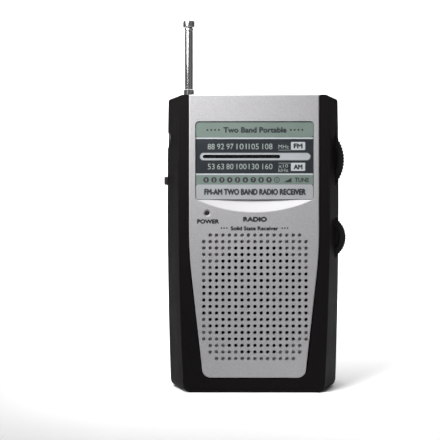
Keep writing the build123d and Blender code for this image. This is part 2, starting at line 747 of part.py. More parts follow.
# ----------------------------------------------------------------------- circuit board
with BuildPart() as circuit_board:
    with BuildSketch(facing(board_back)):
        with BuildLine():
            Polyline(
                (-26.8, 64.0),
                (-19.5, 64.0),
                (-19.5, 62.5),
                (-14.5, 62.5),
                (-14.5, 64.0),
                (17.5, 64.0),
                (17.5, 46.0),
                (28.4, 46.0),
                (28.4, 94.5),
                (20.9, 94.5),
                (20.9, 102.9),
                (-20.8, 102.9),
                (-20.8, 96.0),
                (-26.8, 96.0),
                close=True,
            )
        make_face()
    extrude(amount=board_back - board_front)
    peg(wheel_x, wheel_z, 3.1, 0.5, 2.5, Mode.SUBTRACT)
    for x in (wheel_x - 5.5, wheel_x, wheel_x + 5.5):
        block((x - 0.7, x + 0.7), (0.5, 2.5), (wheel_z - 7.8, wheel_z - 7.0), Mode.SUBTRACT)
    for x, z in board_screw_places:
        peg(x, z, 1.0, 0.5, 2.5, Mode.SUBTRACT)
finish(circuit_board, "circuit_board")

with BuildPart() as circuit_board_screws:
    for x, z in board_screw_places:
        peg(x, z, 1.8, board_back, board_back + 1.0)
        peg(x, z, 0.9, -4.0, board_back)
finish(circuit_board_screws, "circuit_board_screws")

with BuildPart() as receiver_chip:
    block((-17.5, -0.5), (-1.6, 0.6), (68.6, 74.6))
    for pin in range(9):
        for low, high in ((67.6, 68.8), (74.4, 75.6)):
            x = -16.1 + 1.78 * pin
            block((x - 0.25, x + 0.25), (-0.6, board_front), (low, high))
finish(receiver_chip, "receiver_chip")

with BuildPart() as tuned_transformers:
    for x in (-15.0, -6.0, 3.0):
        block((x - 3.5, x + 3.5), (board_back, 10.4), (80.0, 87.0))
        peg(x, 83.5, 1.6, 9.8, 10.6, Mode.SUBTRACT)
finish(tuned_transformers, "tuned_transformers")

with BuildPart() as tuning_slugs:
    for x in (-15.0, -6.0, 3.0):
        peg(x, 83.5, 1.6, 9.8, 10.3)
        block((x - 1.2, x + 1.2), (10.0, 10.4), (83.3, 83.7), Mode.SUBTRACT)
finish(tuning_slugs, "tuning_slugs")

with BuildPart() as electrolytic_capacitors:
    for x, radius, length in ((-13.0, 2.5, 7.0), (-6.5, 2.5, 7.0), (1.0, 3.2, 8.0), (8.0, 2.5, 7.0)):
        peg(x, 71.5, radius, board_back, board_back + length)
    fillet(electrolytic_capacitors.edges().filter_by(GeomType.CIRCLE).group_by(Axis.Y)[-1], radius=0.3)
finish(electrolytic_capacitors, "electrolytic_capacitors")

with BuildPart() as ferrite_rod:
    crossbar(7.0, 97.0, 3.9, -19.5, 20.5)
    chamfer(ferrite_rod.edges().filter_by(GeomType.CIRCLE), 0.3)
finish(ferrite_rod, "ferrite_rod")

with BuildPart() as ferrite_coil:
    crossbar(7.0, 97.0, 4.15, 5.0, 17.0)
    crossbar(7.0, 97.0, 3.9, 4.0, 18.0, Mode.SUBTRACT)
finish(ferrite_coil, "ferrite_coil")

with BuildPart() as ferrite_clips:
    for x in (-14.0, 19.0):
        block((x - 1.2, x + 1.2), (board_back, 8.4), (92.4, 101.6))
    crossbar(7.0, 97.0, 3.9, -20.0, 21.0, Mode.SUBTRACT)
finish(ferrite_clips, "ferrite_clips")

# ---------------------------------------------------------------------------- antenna
def antenna_tube(name, number, low, high):
    """One tube of the antenna: it runs inside the tube before it."""
    with BuildPart() as tube:
        column(antenna_x, antenna_y, antenna_radii[number], low, high)
        chamfer(tube.edges().filter_by(GeomType.CIRCLE), 0.12)
        column(antenna_x, antenna_y, antenna_radii[number + 1] + antenna_play, low - 1, high + 1, Mode.SUBTRACT)
    finish(tube, name)


antenna_tube("antenna_outer_tube", 0, antenna_foot, antenna_mouth)
antenna_tube("antenna_middle_tube", 1, antenna_shown - section_length, antenna_shown)
antenna_tube("antenna_inner_tube", 2, antenna_shown - section_length + 4.0, antenna_shown - 0.2)

with BuildPart() as antenna_rod:
    column(antenna_x, antenna_y, antenna_radii[3], antenna_shown - section_length + 8.0, antenna_shown + 1.2)
    chamfer(antenna_rod.edges().filter_by(GeomType.CIRCLE), 0.15)
finish(antenna_rod, "antenna_rod")

with BuildPart() as antenna_knob:
    with BuildSketch(Plane.XZ.offset(-antenna_y)):
        with BuildLine():
            Polyline(
                (antenna_x, antenna_shown + knob_height),
                (antenna_x + knob_radius - 0.8, antenna_shown + knob_height),
                (antenna_x + knob_radius, antenna_shown + knob_height - 0.8),
                (antenna_x + knob_radius, antenna_shown + 1.5),
                (antenna_x + knob_neck, antenna_shown + 0.9),
                (antenna_x + knob_neck, antenna_shown + knob_gap),
                (antenna_x, antenna_shown + knob_gap),
                close=True,
            )
        make_face()
    revolve(axis=Axis((antenna_x, antenna_y, 0), (0, 0, 1)))
    column(antenna_x, antenna_y, antenna_radii[3], antenna_shown - 1, antenna_shown + 1.2, Mode.SUBTRACT)
finish(antenna_knob, "antenna_knob")

with BuildPart() as antenna_bracket:
    column(antenna_x, antenna_y, 3.0, 30.0, 36.0)
    block((antenna_x, -17.4), (7.2, 8.2), (30.0, 36.0))
    column(antenna_x, antenna_y, antenna_radii[0], 29.0, 37.0, Mode.SUBTRACT)
    peg(bracket_post_x, bracket_post_z, 0.9, 7.0, 8.4, Mode.SUBTRACT)
finish(antenna_bracket, "antenna_bracket")

with BuildPart() as antenna_screw:
    peg(bracket_post_x, bracket_post_z, 1.5, 6.4, 7.2)
    peg(bracket_post_x, bracket_post_z, 0.8, 7.2, 10.4)
finish(antenna_screw, "antenna_screw")

# -------------------------------------------------------------------------- batteries
# The left cell stands head down and the right one head up.
spring_height = 7.0
cell_tip = 1.0


def cell(name, x, low, tip_up):
    """AA cell: a drawn can with a small contact at one end."""
    with BuildPart() as body:
        column(x, cell_y, cell_radius, low, low + cell_length)
        fillet(body.edges().filter_by(GeomType.CIRCLE), radius=0.5)
        if tip_up:
            column(x, cell_y, 2.75, low + cell_length, low + cell_length + cell_tip)
        else:
            column(x, cell_y, 2.75, low - cell_tip, low)
    finish(body, name)


def contact_spring(name, x, low, wide_end_up):
    """Conical coil that presses on a cell's flat end."""
    radius, turns, wire = 5.0, 4, 0.4
    with BuildPart() as spring:
        with BuildLine() as coil:
            Helix(
                pitch=(spring_height - 2 * wire) / turns,
                height=spring_height - 2 * wire,
                radius=radius,
                cone_angle=12 if not wide_end_up else -12,
                center=(x, cell_y, low + wire),
            )
        with BuildSketch(Plane(origin=coil.line @ 0, z_dir=coil.line % 0)):
            Circle(wire)
        sweep()
    finish(spring, name)


cell("left_cell", -cell_x, bay_bottom + 0.4 + cell_tip, tip_up=False)
cell("right_cell", cell_x, bay_top - 0.4 - cell_tip - cell_length, tip_up=True)
contact_spring("left_spring", -cell_x, bay_top - 0.4 - spring_height, wide_end_up=True)
contact_spring("right_spring", cell_x, bay_bottom + 0.4, wide_end_up=False)

with BuildPart() as battery_contacts:
    for x in (-cell_x, cell_x):
        block((x - 6.0, x + 6.0), (cell_y - 6.0, cell_y + 6.0), (bay_bottom, bay_bottom + 0.4))
finish(battery_contacts, "battery_contacts")

with BuildPart() as battery_bridge:
    block((-cell_x - 6.0, cell_x + 6.0), (cell_y - 5.0, cell_y + 5.0), (bay_top - 0.4, bay_top))
finish(battery_bridge, "battery_bridge")
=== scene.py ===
"""Looks of a two-band transistor pocket radio, dressed around its CAD frame."""

from __future__ import annotations

import logging
import math
from dataclasses import dataclass
from enum import Enum
from typing import Any, Iterable, Sequence

import bmesh
import bpy
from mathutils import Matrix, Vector


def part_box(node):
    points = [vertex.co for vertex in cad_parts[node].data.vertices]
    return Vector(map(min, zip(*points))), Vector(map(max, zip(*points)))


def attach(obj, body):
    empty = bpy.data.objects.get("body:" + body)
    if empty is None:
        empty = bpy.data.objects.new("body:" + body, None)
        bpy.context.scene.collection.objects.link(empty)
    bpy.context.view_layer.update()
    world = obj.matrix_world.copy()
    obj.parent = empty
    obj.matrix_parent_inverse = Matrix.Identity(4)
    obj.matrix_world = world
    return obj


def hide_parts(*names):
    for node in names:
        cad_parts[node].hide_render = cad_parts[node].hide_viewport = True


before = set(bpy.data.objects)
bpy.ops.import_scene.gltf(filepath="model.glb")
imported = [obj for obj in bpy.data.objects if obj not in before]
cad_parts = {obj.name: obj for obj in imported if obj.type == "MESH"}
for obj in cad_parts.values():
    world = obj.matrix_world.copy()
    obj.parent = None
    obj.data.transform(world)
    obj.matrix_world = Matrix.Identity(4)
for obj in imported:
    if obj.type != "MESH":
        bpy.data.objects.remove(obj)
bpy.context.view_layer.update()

MM = 0.001
ON_AXIS = 1e-6
SHARP_PRINT = 25.0
SHARP_TURNED = 30.0
SHARP_PAPER = 60.0
ROUND_STEPS = 6
Point = tuple[float, float]
Triple = tuple[float, float, float]
Colour = Triple
Box = tuple[float, float, float, float]
Legend = tuple[str, Box, float]
log = logging.getLogger("pocket_radio")


def linear(red: int, green: int, blue: int) -> Colour:
    """Turn display values into the linear colour that shaders use.

    Args:
        red: display red from 0 to 255.
        green: display green.
        blue: display blue.

    Returns:
        The linear colour.
    """

    def channel(value: int) -> float:
        """Undo the display curve of one channel."""
        share = value / 255
        return share / 12.92 if share <= 0.04045 else ((share + 0.055) / 1.055) ** 2.4

    return channel(red), channel(green), channel(blue)


def corners(node: str) -> tuple[Vector, Vector]:
    """Lowest and highest corner of a CAD node in millimetres."""
    low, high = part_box(node)
    return low / MM, high / MM


def middle_of(node: str) -> Triple:
    """Middle of a CAD node's box in millimetres."""
    low, high = corners(node)
    return (low.x + high.x) / 2, (low.y + high.y) / 2, (low.z + high.z) / 2


# --------------------------------------------------------------------------- shader graph
class Value:
    """A shader socket that adds Math nodes when it is used in an expression."""

    def __init__(self, graph: "Graph", socket: bpy.types.NodeSocket) -> None:
        """Wrap a socket.

        Args:
            graph: the graph that owns it.
            socket: the socket.
        """
        self.graph = graph
        self.socket = socket

    def _math(self, operation: str, first: Any, second: Any = 0.0) -> "Value":
        """Add one Math node.

        Args:
            operation: the Math node's operation.
            first: its first operand, a Value or a number.
            second: its second operand, a Value or a number.

        Returns:
            The node's result.
        """
        node = self.graph.node("ShaderNodeMath", {"operation": operation}, {0: first, 1: second})
        return Value(self.graph, node.outputs[0])

    def __add__(self, other: Any) -> "Value":
        """Sum."""
        return self._math("ADD", self, other)

    def __radd__(self, other: Any) -> "Value":
        """Sum with a number on the left."""
        return self._math("ADD", other, self)

    def __sub__(self, other: Any) -> "Value":
        """Difference."""
        return self._math("SUBTRACT", self, other)

    def __rsub__(self, other: Any) -> "Value":
        """Difference from a number on the left."""
        return self._math("SUBTRACT", other, self)

    def __mul__(self, other: Any) -> "Value":
        """Product."""
        return self._math("MULTIPLY", self, other)

    def __rmul__(self, other: Any) -> "Value":
        """Product with a number on the left."""
        return self._math("MULTIPLY", other, self)

    def __truediv__(self, other: Any) -> "Value":
        """Quotient."""
        return self._math("DIVIDE", self, other)

    def __pow__(self, other: Any) -> "Value":
        """Power."""
        return self._math("POWER", self, other)

    def __abs__(self) -> "Value":
        """Size without its sign."""
        return self._math("ABSOLUTE", self)

    def sine(self) -> "Value":
        """Sine of the value, in radians."""
        return self._math("SINE", self)

    def least(self, other: Any) -> "Value":
        """The smaller of two values."""
        return self._math("MINIMUM", self, other)

    def most(self, other: Any) -> "Value":
        """The larger of two values."""
        return self._math("MAXIMUM", self, other)

    def wrapped(self, period: float) -> "Value":
        """The value folded into one period, from 0 to the period."""
        return self._math("FLOORED_MODULO", self, period)

    def step(self, low: float, high: float) -> "Value":
        """Add a smooth step.

        Args:
            low: the step is 0 up to here.
            high: the step is 1 from here on.

        Returns:
            The step, from 0 to 1.
        """
        node = self.graph.node(
            "ShaderNodeMapRange",
            {"interpolation_type": "SMOOTHSTEP"},
            {"Value": self, "From Min": low, "From Max": high, "To Min": 0.0, "To Max": 1.0},
        )
        return Value(self.graph, node.outputs["Result"])


class Graph:
    """The node tree of one material."""

    def __init__(self, name: str) -> None:
        """Start an empty material with an output and a Principled shader.

        Args:
            name: the material's name.
        """
        self.material = bpy.data.materials.new(name)
        self.material.use_nodes = True
        self.tree = self.material.node_tree
        self.tree.nodes.clear()
        self.output = self.node("ShaderNodeOutputMaterial")
        self.shader = self.node("ShaderNodeBsdfPrincipled")
        self.tree.links.new(self.shader.outputs[0], self.output.inputs["Surface"])

    def node(
        self,
        kind: str,
        settings: dict[str, Any] | None = None,
        inputs: dict[str | int, Any] | None = None,
    ) -> bpy.types.Node:
        """Add a node.

        Args:
            kind: the node's type.
            settings: its own settings, such as a Math node's operation, set first.
            inputs: values or links of its sockets, by name or number.

        Returns:
            The new node.
        """
        made = self.tree.nodes.new(kind)
        for key, setting in (settings or {}).items():
            setattr(made, key, setting)
        for key, given in (inputs or {}).items():
            self.feed(made.inputs[key], given)
        return made

    def feed(self, socket: bpy.types.NodeSocket, given: Any) -> None:
        """Link something to a socket, or set the socket's own value.

        Args:
            socket: the socket that is fed.
            given: a Value or a socket to link, or a number or colour to set.
        """
        if isinstance(given, Value):
            given = given.socket
        if isinstance(given, bpy.types.NodeSocket):
            self.tree.links.new(given, socket)
        elif isinstance(given, tuple) and len(given) == 3 and socket.type == "RGBA":
            socket.default_value = (*given, 1.0)
        else:
            socket.default_value = given

    def place(self) -> bpy.types.NodeSocket:
        """The point on the piece, in metres, in the radio's own frame."""
        return self.node("ShaderNodeTexCoord").outputs["Object"]

    def axes(self) -> tuple[Value, Value, Value]:
        """The point's X, Y and Z in millimetres."""
        split = self.node("ShaderNodeSeparateXYZ", None, {0: self.place()})
        x, y, z = (Value(self, out) for out in split.outputs)
        return x / MM, y / MM, z / MM

    def noise(self, grain: float, detail: float = 3.0, stretch: Triple = (1, 1, 1)) -> Value:
        """Cloudy noise from 0 to 1.

        Args:
            grain: the size of its features in millimetres.
            detail: how many finer layers it has.
            stretch: scale along each axis.

        Returns:
            The noise.
        """
        mapped = self.node("ShaderNodeMapping", None, {"Vector": self.place(), "Scale": stretch})
        made = self.node(
            "ShaderNodeTexNoise",
            None,
            {"Vector": mapped.outputs[0], "Scale": 1 / (grain * MM), "Detail": detail},
        )
        return Value(self, made.outputs[0])

    def cells(self, size: float) -> Value:
        """Split space into cells of random grey.

        Args:
            size: the size of a cell in millimetres.

        Returns:
            The cell's grey, from 0 to 1.
        """
        made = self.node("ShaderNodeTexVoronoi", None, {"Vector": self.place(), "Scale": 1 / (size * MM)})
        split = self.node("ShaderNodeSeparateColor", None, {0: made.outputs["Color"]})
        return Value(self, split.outputs[0])

    def edge(self, radius: float) -> Value:
        """Find how near an edge is.

        Args:
            radius: how far an edge reaches, in millimetres.

        Returns:
            The nearness, from 0 to 1.
        """
        rounded = self.node("ShaderNodeBevel", {"samples": 4}, {"Radius": radius * MM}).outputs[0]
        true = self.node("ShaderNodeNewGeometry").outputs["Normal"]
        dot = self.node("ShaderNodeVectorMath", {"operation": "DOT_PRODUCT"}, {0: rounded, 1: true})
        return (1 - Value(self, dot.outputs["Value"])).step(0.01, 0.12)

    def mix(self, share: Any, low: Any, high: Any) -> bpy.types.NodeSocket:
        """Blend two colours.

        Args:
            share: how much of the second colour, from 0 to 1.
            low: the first colour, or its socket.
            high: the second colour, or its socket.

        Returns:
            The blended colour's socket.
        """
        made = self.node("ShaderNodeMix", {"data_type": "RGBA"}, {0: share, 6: low, 7: high})
        return made.outputs[2]

    def bump(self, height: Value, depth: float, strength: float = 1.0) -> None:
        """Raise the surface by bending its normal.

        Args:
            height: the height, from 0 to 1.
            depth: how deep a height of 1 is, in millimetres.
            strength: how much of it shows.
        """
        made = self.node(
            "ShaderNodeBump", None, {"Height": height, "Distance": depth * MM, "Strength": strength}
        )
        self.set("Normal", made.outputs[0])

    def set(self, socket: str, given: Any) -> None:
        """Set or link one socket of the Principled shader."""
        self.feed(self.shader.inputs[socket], given)


# ------------------------------------------------------------------------------- finishes
@dataclass(frozen=True)
class Finish:
    """A surface finish: it makes its material once and hands it out.

    Sizes and depths of a finish's marks are in millimetres.
    """

    name: str
    colour: Colour
    roughness: float = 0.45

    def material(self) -> bpy.types.Material:
        """Make the finish's material on first use.

        Returns:
            The material.
        """
        known = bpy.data.materials.get(self.name)
        if known is not None:
            return known
        graph = Graph(self.name)
        self.build(graph)
        return graph.material

    def build(self, graph: Graph) -> None:
        """Fill in the graph: a plain finish with slight mottling in its colour and roughness.

        Args:
            graph: the material's graph.
        """
        mottle = graph.noise(1.6, 4.0)
        graph.set("Base Color", graph.mix(mottle, self.shade(0.9), self.shade(1.08)))
        graph.set("Roughness", mottle * 0.1 + (self.roughness - 0.05))

    def shade(self, factor: float) -> Colour:
        """The finish's colour, lighter or darker by a factor."""
        red, green, blue = self.colour
        return red * factor, green * factor, blue * factor


@dataclass(frozen=True)
class MouldedPlastic(Finish):
    """Injection-moulded plastic: fine spark-eroded grain, faint flow, handling shine."""

    grain: float = 0.16
    relief: float = 0.012
    wear: float = 0.35
    gloss: float = 0.4
    smudge_size: float = 9.0
    flow_size: float = 22.0
    dust_size: float = 0.45
    dust_cover: float = 0.04
    dust_colour: Colour = (0.42, 0.41, 0.4)
    rub_reach: float = 0.35
    rub_size: float = 3.0

    def build(self, graph: Graph) -> None:
        """Grain in the normal, smudges in the roughness, and dust in the colour.

        Args:
            graph: the material's graph.
        """
        grain = graph.noise(self.grain, 2.0)
        smudge = graph.noise(self.smudge_size, 5.0, (1.0, 1.0, 0.6)).step(0.38, 0.68)
        flow = graph.noise(self.flow_size, 2.0, (1.0, 1.0, 0.35))
        dust = graph.noise(self.dust_size, 6.0).step(0.66, 0.78) * self.dust_cover
        rub = graph.edge(self.rub_reach) * graph.noise(self.rub_size, 4.0).step(0.35, 0.65) * self.wear
        tone = graph.mix(flow, self.shade(0.86), self.shade(1.16))
        rubbed = graph.mix(rub, tone, self.shade(2.4))
        graph.set("Base Color", graph.mix(dust, rubbed, self.dust_colour))
        graph.set("Roughness", self.roughness - smudge * (0.16 * self.wear) - rub * 0.1 + grain * 0.08)
        graph.set("Specular IOR Level", self.gloss)
        graph.bump(grain, self.relief, 0.8)


@dataclass(frozen=True)
class MetallicLacquer(Finish):
    """Silver lacquer: fine aluminium flake under a thin clear layer."""

    flake: float = 0.11
    sparkle: float = 0.2
    metallic: float = 0.55
    coat: float = 0.25
    coat_roughness: float = 0.3
    mottle_size: float = 14.0
    rub_reach: float = 0.3
    rub_size: float = 2.0
    hole_depth: float = 0.35
    hole_fade: float = 0.3
    grille_top: float = 57.0
    grille_fade: float = 0.5
    scoop_x: float = 0.2
    scoop_z: float = 113.1
    scoop_radius: float = 49.7
    scoop_rim: float = 0.2

    def build(self, graph: Graph) -> None:
        """Flake in the colour, roughness and normal; painted shade down in the grille's holes.

        Args:
            graph: the material's graph.
        """
        flake = graph.cells(self.flake)
        finer = graph.noise(self.flake * 0.7, 1.0)
        speckle = flake * 0.5 + finer * 0.5
        mottle = graph.noise(self.mottle_size, 3.0)
        x, y, z = graph.axes()
        face = corners("front_panel")[0].y
        floor = face + self.hole_depth
        # painted shade: the colour darkens with depth inside the grille's holes, below the grille's top only
        hole_shade = y.step(floor, floor + self.hole_fade)
        hole_shade = hole_shade * (1 - z.step(self.grille_top, self.grille_top + self.grille_fade))
        # painted highlight: the scoop cut below the dial is lightened in the colour, as if it faces up to
        # the light
        from_centre = ((x - self.scoop_x) ** 2 + (z - self.scoop_z) ** 2) ** 0.5
        scoop_highlight = y.step(face + 0.02, face + 0.1)
        scoop_highlight = scoop_highlight * (self.scoop_radius - from_centre).step(0.0, self.scoop_rim)
        worn = graph.edge(self.rub_reach) * graph.noise(self.rub_size, 4.0).step(0.4, 0.7)
        low, high = self.shade(1 - self.sparkle), self.shade(1 + self.sparkle)
        tone = graph.mix(speckle.step(0.15, 0.85), low, high)
        tone = graph.mix(mottle * 0.16, tone, self.shade(0.8))
        tone = graph.mix(worn * 0.35, tone, self.shade(1.5))
        tone = graph.mix(scoop_highlight, tone, self.shade(1.3))
        graph.set("Base Color", graph.mix(hole_shade * 0.5, tone, self.shade(0.16)))
        graph.set("Metallic", self.metallic)
        graph.set("Roughness", self.roughness + speckle * 0.12 + mottle * 0.05)
        graph.set("Coat Weight", self.coat)
        graph.set("Coat Roughness", self.coat_roughness)
        graph.bump(speckle, 0.004, 0.6)


@dataclass(frozen=True)
class PolishedMetal(Finish):
    """Plated or turned metal: drawn lines along one axis, small spots of wear."""

    stretch: Triple = (1.0, 1.0, 0.02)
    line: float = 0.12
    tarnish: Colour = (0.32, 0.3, 0.28)
    spots: float = 0.25
    spot_size: float = 0.6
    cloud_size: float = 3.5
    relief: float = 0.0015

    def build(self, graph: Graph) -> None:
        """Drawn lines in roughness and normal, tarnish in the colour.

        Args:
            graph: the material's graph.
        """
        lines = graph.noise(self.line, 3.0, self.stretch)
        cloud = graph.noise(self.cloud_size, 5.0)
        spots = graph.noise(self.spot_size, 4.0).step(0.66, 0.8)
        marks = cloud.step(0.45, 0.8) * 0.25 + spots * self.spots
        graph.set("Base Color", graph.mix(marks, self.colour, self.tarnish))
        graph.set("Metallic", 1.0)
        graph.set("Roughness", self.roughness + lines * 0.07 + marks * 0.16)
        graph.bump(lines, self.relief, 0.5)


@dataclass(frozen=True)
class PrintedInk(Finish):
    """Screen-printed ink: nearly even, with a fine mesh mark and tiny pinholes."""

    under: Colour = (0.1, 0.1, 0.1)
    mesh_pitch: float = 0.16
    pinhole_size: float = 0.22
    pinhole_cover: float = 0.35
    cloud_size: float = 5.0
    coat: float = 0.2
    coat_roughness: float = 0.15

    def build(self, graph: Graph) -> None:
        """Ink tone over what it is printed on.

        Args:
            graph: the material's graph.
        """
        x, _, z = graph.axes()
        turn = 2 * math.pi / self.mesh_pitch
        mesh = (x * turn).sine() * (z * turn).sine()
        pinholes = graph.noise(self.pinhole_size, 3.0).step(0.7, 0.8) * self.pinhole_cover
        cloud = graph.noise(self.cloud_size, 3.0)
        tone = graph.mix(cloud, self.shade(0.92), self.shade(1.07))
        graph.set("Base Color", graph.mix(pinholes, tone, self.under))
        graph.set("Roughness", self.roughness + cloud * 0.08 + mesh * 0.015)
        graph.set("Coat Weight", self.coat)
        graph.set("Coat Roughness", self.coat_roughness)
        graph.bump(mesh * 0.5 + 0.5, 0.003, 0.4)


@dataclass(frozen=True)
class DialLacquer(Finish):
    """Dark glossy lacquer of the dial plate, with hairline scratches and dust."""

    cloud_size: float = 7.0
    scratch_size: float = 0.9
    scratch_stretch: Triple = (0.05, 1.0, 1.6)
    dust_size: float = 0.3
    dust_cover: float = 0.12
    dust_colour: Colour = (0.4, 0.42, 0.43)
    coat: float = 0.5
    coat_roughness: float = 0.08

    def build(self, graph: Graph) -> None:
        """Deep tone, faint cloud, scratches in roughness and normal.

        Args:
            graph: the material's graph.
        """
        cloud = graph.noise(self.cloud_size, 4.0)
        scratch = graph.noise(self.scratch_size, 2.0, self.scratch_stretch).step(0.62, 0.7)
        dust = graph.noise(self.dust_size, 5.0).step(0.68, 0.8) * self.dust_cover
        tone = graph.mix(cloud, self.shade(0.85), self.shade(1.2))
        graph.set("Base Color", graph.mix(dust, tone, self.dust_colour))
        graph.set("Roughness", self.roughness + scratch * 0.12 + cloud * 0.05)
        graph.set("Coat Weight", self.coat)
        graph.set("Coat Roughness", self.coat_roughness)
        graph.bump(scratch, 0.002, 0.4)


@dataclass(frozen=True)
class WovenScrim(Finish):
    """Open plain-weave scrim in front of the loudspeaker."""

    pitch: float = 0.34
    fuzz_size: float = 0.09
    sheen: float = 0.2

    def build(self, graph: Graph) -> None:
        """Two sets of threads passing over and under each other, with painted shade where they pass under.

        Args:
            graph: the material's graph.
        """
        x, _, z = graph.axes()
        warp = (x * (math.pi / self.pitch)).sine()
        weft = (z * (math.pi / self.pitch)).sine()
        over = (warp * weft) * 0.5 + 0.5
        thread = abs(warp).most(abs(weft))
        fuzz = graph.noise(self.fuzz_size, 3.0)
        # painted shade: threads are darker where they pass under the crossing thread and between threads
        graph.set("Base Color", graph.mix(thread * over, self.shade(0.35), self.shade(1.5)))
        graph.set("Roughness", self.roughness + fuzz * 0.1)
        graph.set("Sheen Weight", self.sheen)
        graph.bump(over * thread + fuzz * 0.2, 0.06, 0.9)


@dataclass(frozen=True)
class ClearPlastic(Finish):
    """Smoke-tinted see-through plastic with faint haze."""

    cover: float = 0.6
    haze_size: float = 2.4

    def build(self, graph: Graph) -> None:
        """Mostly see-through, glossy, with a trace of haze.

        Args:
            graph: the material's graph.
        """
        haze = graph.noise(self.haze_size, 4.0)
        graph.set("Base Color", graph.mix(haze, self.shade(0.9), self.colour))
        graph.set("Roughness", self.roughness + haze * 0.06)
        graph.set("Alpha", haze * 0.1 + self.cover)


@dataclass(frozen=True)
class GlowLens(Finish):
    """Tinted lamp lens, unlit, a little darker in its depth."""

    swirl_size: float = 0.8
    depth: float = 0.25
    coat: float = 0.6

    def build(self, graph: Graph) -> None:
        """Tint with swirls, glossy, partly translucent.

        Args:
            graph: the material's graph.
        """
        swirl = graph.noise(self.swirl_size, 3.0)
        graph.set("Base Color", graph.mix(swirl, self.shade(0.55), self.shade(1.15)))
        graph.set("Roughness", self.roughness + swirl * 0.06)
        graph.set("Subsurface Weight", self.depth)
        graph.set("Coat Weight", self.coat)
        graph.bump(swirl, 0.01, 0.3)


@dataclass(frozen=True)
class BoardLaminate(Finish):
    """Phenolic paper circuit board with lacquered copper tracks on its back."""

    copper: Colour = (0.42, 0.16, 0.06)
    pitch: float = 2.54
    fibre_size: float = 0.5
    wander_size: float = 6.0
    wander_reach: float = 3.2
    gap_size: float = 3.0

    def build(self, graph: Graph) -> None:
        """Paper fibres, and a wandering net of tracks.

        Args:
            graph: the material's graph.
        """
        x, _, z = graph.axes()
        fibre = graph.noise(self.fibre_size, 5.0, (0.3, 1.0, 1.0))
        wander = graph.noise(self.wander_size, 1.0) * self.wander_reach
        across = abs(((x + wander).wrapped(self.pitch)) - self.pitch / 2).step(0.55, 0.7)
        along = abs(((z + wander).wrapped(self.pitch * 2)) - self.pitch).step(0.5, 0.65)
        gaps = graph.noise(self.gap_size, 1.0).step(0.45, 0.5)
        track = 1 - across.least(along + 0.35 * gaps)
        tone = graph.mix(fibre, self.shade(0.75), self.shade(1.2))
        graph.set("Base Color", graph.mix(track * 0.7, tone, self.copper))
        graph.set("Roughness", self.roughness - track * 0.15)
        graph.bump(track, 0.03, 0.5)


@dataclass(frozen=True)
class Windings(Finish):
    """Enamelled wire wound side by side round an axis along X."""

    pitch: float = 0.3
    tone_size: float = 1.5
    metallic: float = 0.7

    def build(self, graph: Graph) -> None:
        """One ridge for each turn, with painted shade in the grooves between turns.

        Args:
            graph: the material's graph.
        """
        x, _, _ = graph.axes()
        turn = abs((x * (math.pi / self.pitch)).sine())
        shade = graph.noise(self.tone_size, 3.0)
        tone = graph.mix(shade, self.shade(0.8), self.shade(1.15))
        # painted shade: the grooves between turns are darkened in the colour
        graph.set("Base Color", graph.mix(turn, self.shade(0.25), tone))
        graph.set("Metallic", self.metallic)
        graph.set("Roughness", self.roughness + shade * 0.1)
        graph.bump(turn, 0.12, 0.9)


@dataclass(frozen=True)
class StudioPaper(Finish):
    """Pale seamless paper under and behind the radio."""

    tooth_size: float = 0.6
    cloud_size: float = 120.0

    def build(self, graph: Graph) -> None:
        """Paper tooth and very faint unevenness.

        Args:
            graph: the material's graph.
        """
        tooth = graph.noise(self.tooth_size, 4.0)
        cloud = graph.noise(self.cloud_size, 2.0)
        graph.set("Base Color", graph.mix(cloud, self.shade(0.985), self.colour))
        graph.set("Roughness", self.roughness + tooth * 0.08)
        graph.bump(tooth, 0.02, 0.15)


BLACK_CASE = MouldedPlastic("black_case", linear(12, 10, 11), 0.58, gloss=0.06)
BLACK_WHEEL = MouldedPlastic("black_wheel", linear(24, 23, 24), 0.48, grain=0.22, relief=0.02, gloss=0.2)
BLACK_INSIDE = MouldedPlastic("black_inside", linear(22, 22, 23), 0.55, wear=0.1)
SILVER_LACQUER = MetallicLacquer("silver_lacquer", linear(152, 151, 153), 0.42)
DIAL_NAVY = DialLacquer("dial_navy", linear(24, 28, 33), 0.3)
PRINT_GREEN = PrintedInk("print_green", linear(86, 99, 93), 0.4, (0.2, 0.25, 0.23))
PRINT_PALE = PrintedInk("print_pale", linear(122, 130, 126), 0.4, (0.3, 0.33, 0.32))
PRINT_WHITE = PrintedInk("print_white", linear(146, 150, 152), 0.4, (0.4, 0.4, 0.4))
PRINT_LIGHT = PrintedInk("print_light", linear(130, 132, 134), 0.4, (0.3, 0.3, 0.3))
PRINT_RIM = PrintedInk("print_rim", linear(110, 112, 112), 0.4, (0.3, 0.3, 0.3))
PRINT_DARK = PrintedInk("print_dark", linear(26, 29, 34), 0.42, (0.12, 0.12, 0.13))
PRINT_BLACK = PrintedInk("print_black", linear(18, 17, 18), 0.45, (0.1, 0.1, 0.1))
CAPSULE_WHITE = PrintedInk("capsule_white", linear(135, 138, 141), 0.36, (0.3, 0.3, 0.3))
SCRIM = WovenScrim("speaker_scrim", linear(34, 33, 33), 0.85)
CLEAR_STRIP = ClearPlastic("smoke_strip", linear(38, 39, 41), 0.1)
LAMP_LENS = GlowLens("lamp_lens", linear(46, 12, 12), 0.2)
CHROME = PolishedMetal("bright_chrome", linear(214, 214, 216), 0.1)
KNOB_CHROME = PolishedMetal("knob_chrome", linear(206, 205, 206), 0.14, stretch=(1, 1, 1), line=0.4)
ZINC = PolishedMetal("zinc_plate", linear(168, 170, 172), 0.3, stretch=(1, 1, 1), line=0.3)
BRASS = PolishedMetal("turned_brass", linear(196, 160, 92), 0.25, tarnish=(0.2, 0.13, 0.05))
DRAWN_CAN = PolishedMetal("drawn_can", linear(180, 180, 180), 0.34, stretch=(1, 0.05, 1))
ACETAL = MouldedPlastic("natural_acetal", linear(222, 218, 206), 0.5, relief=0.006)
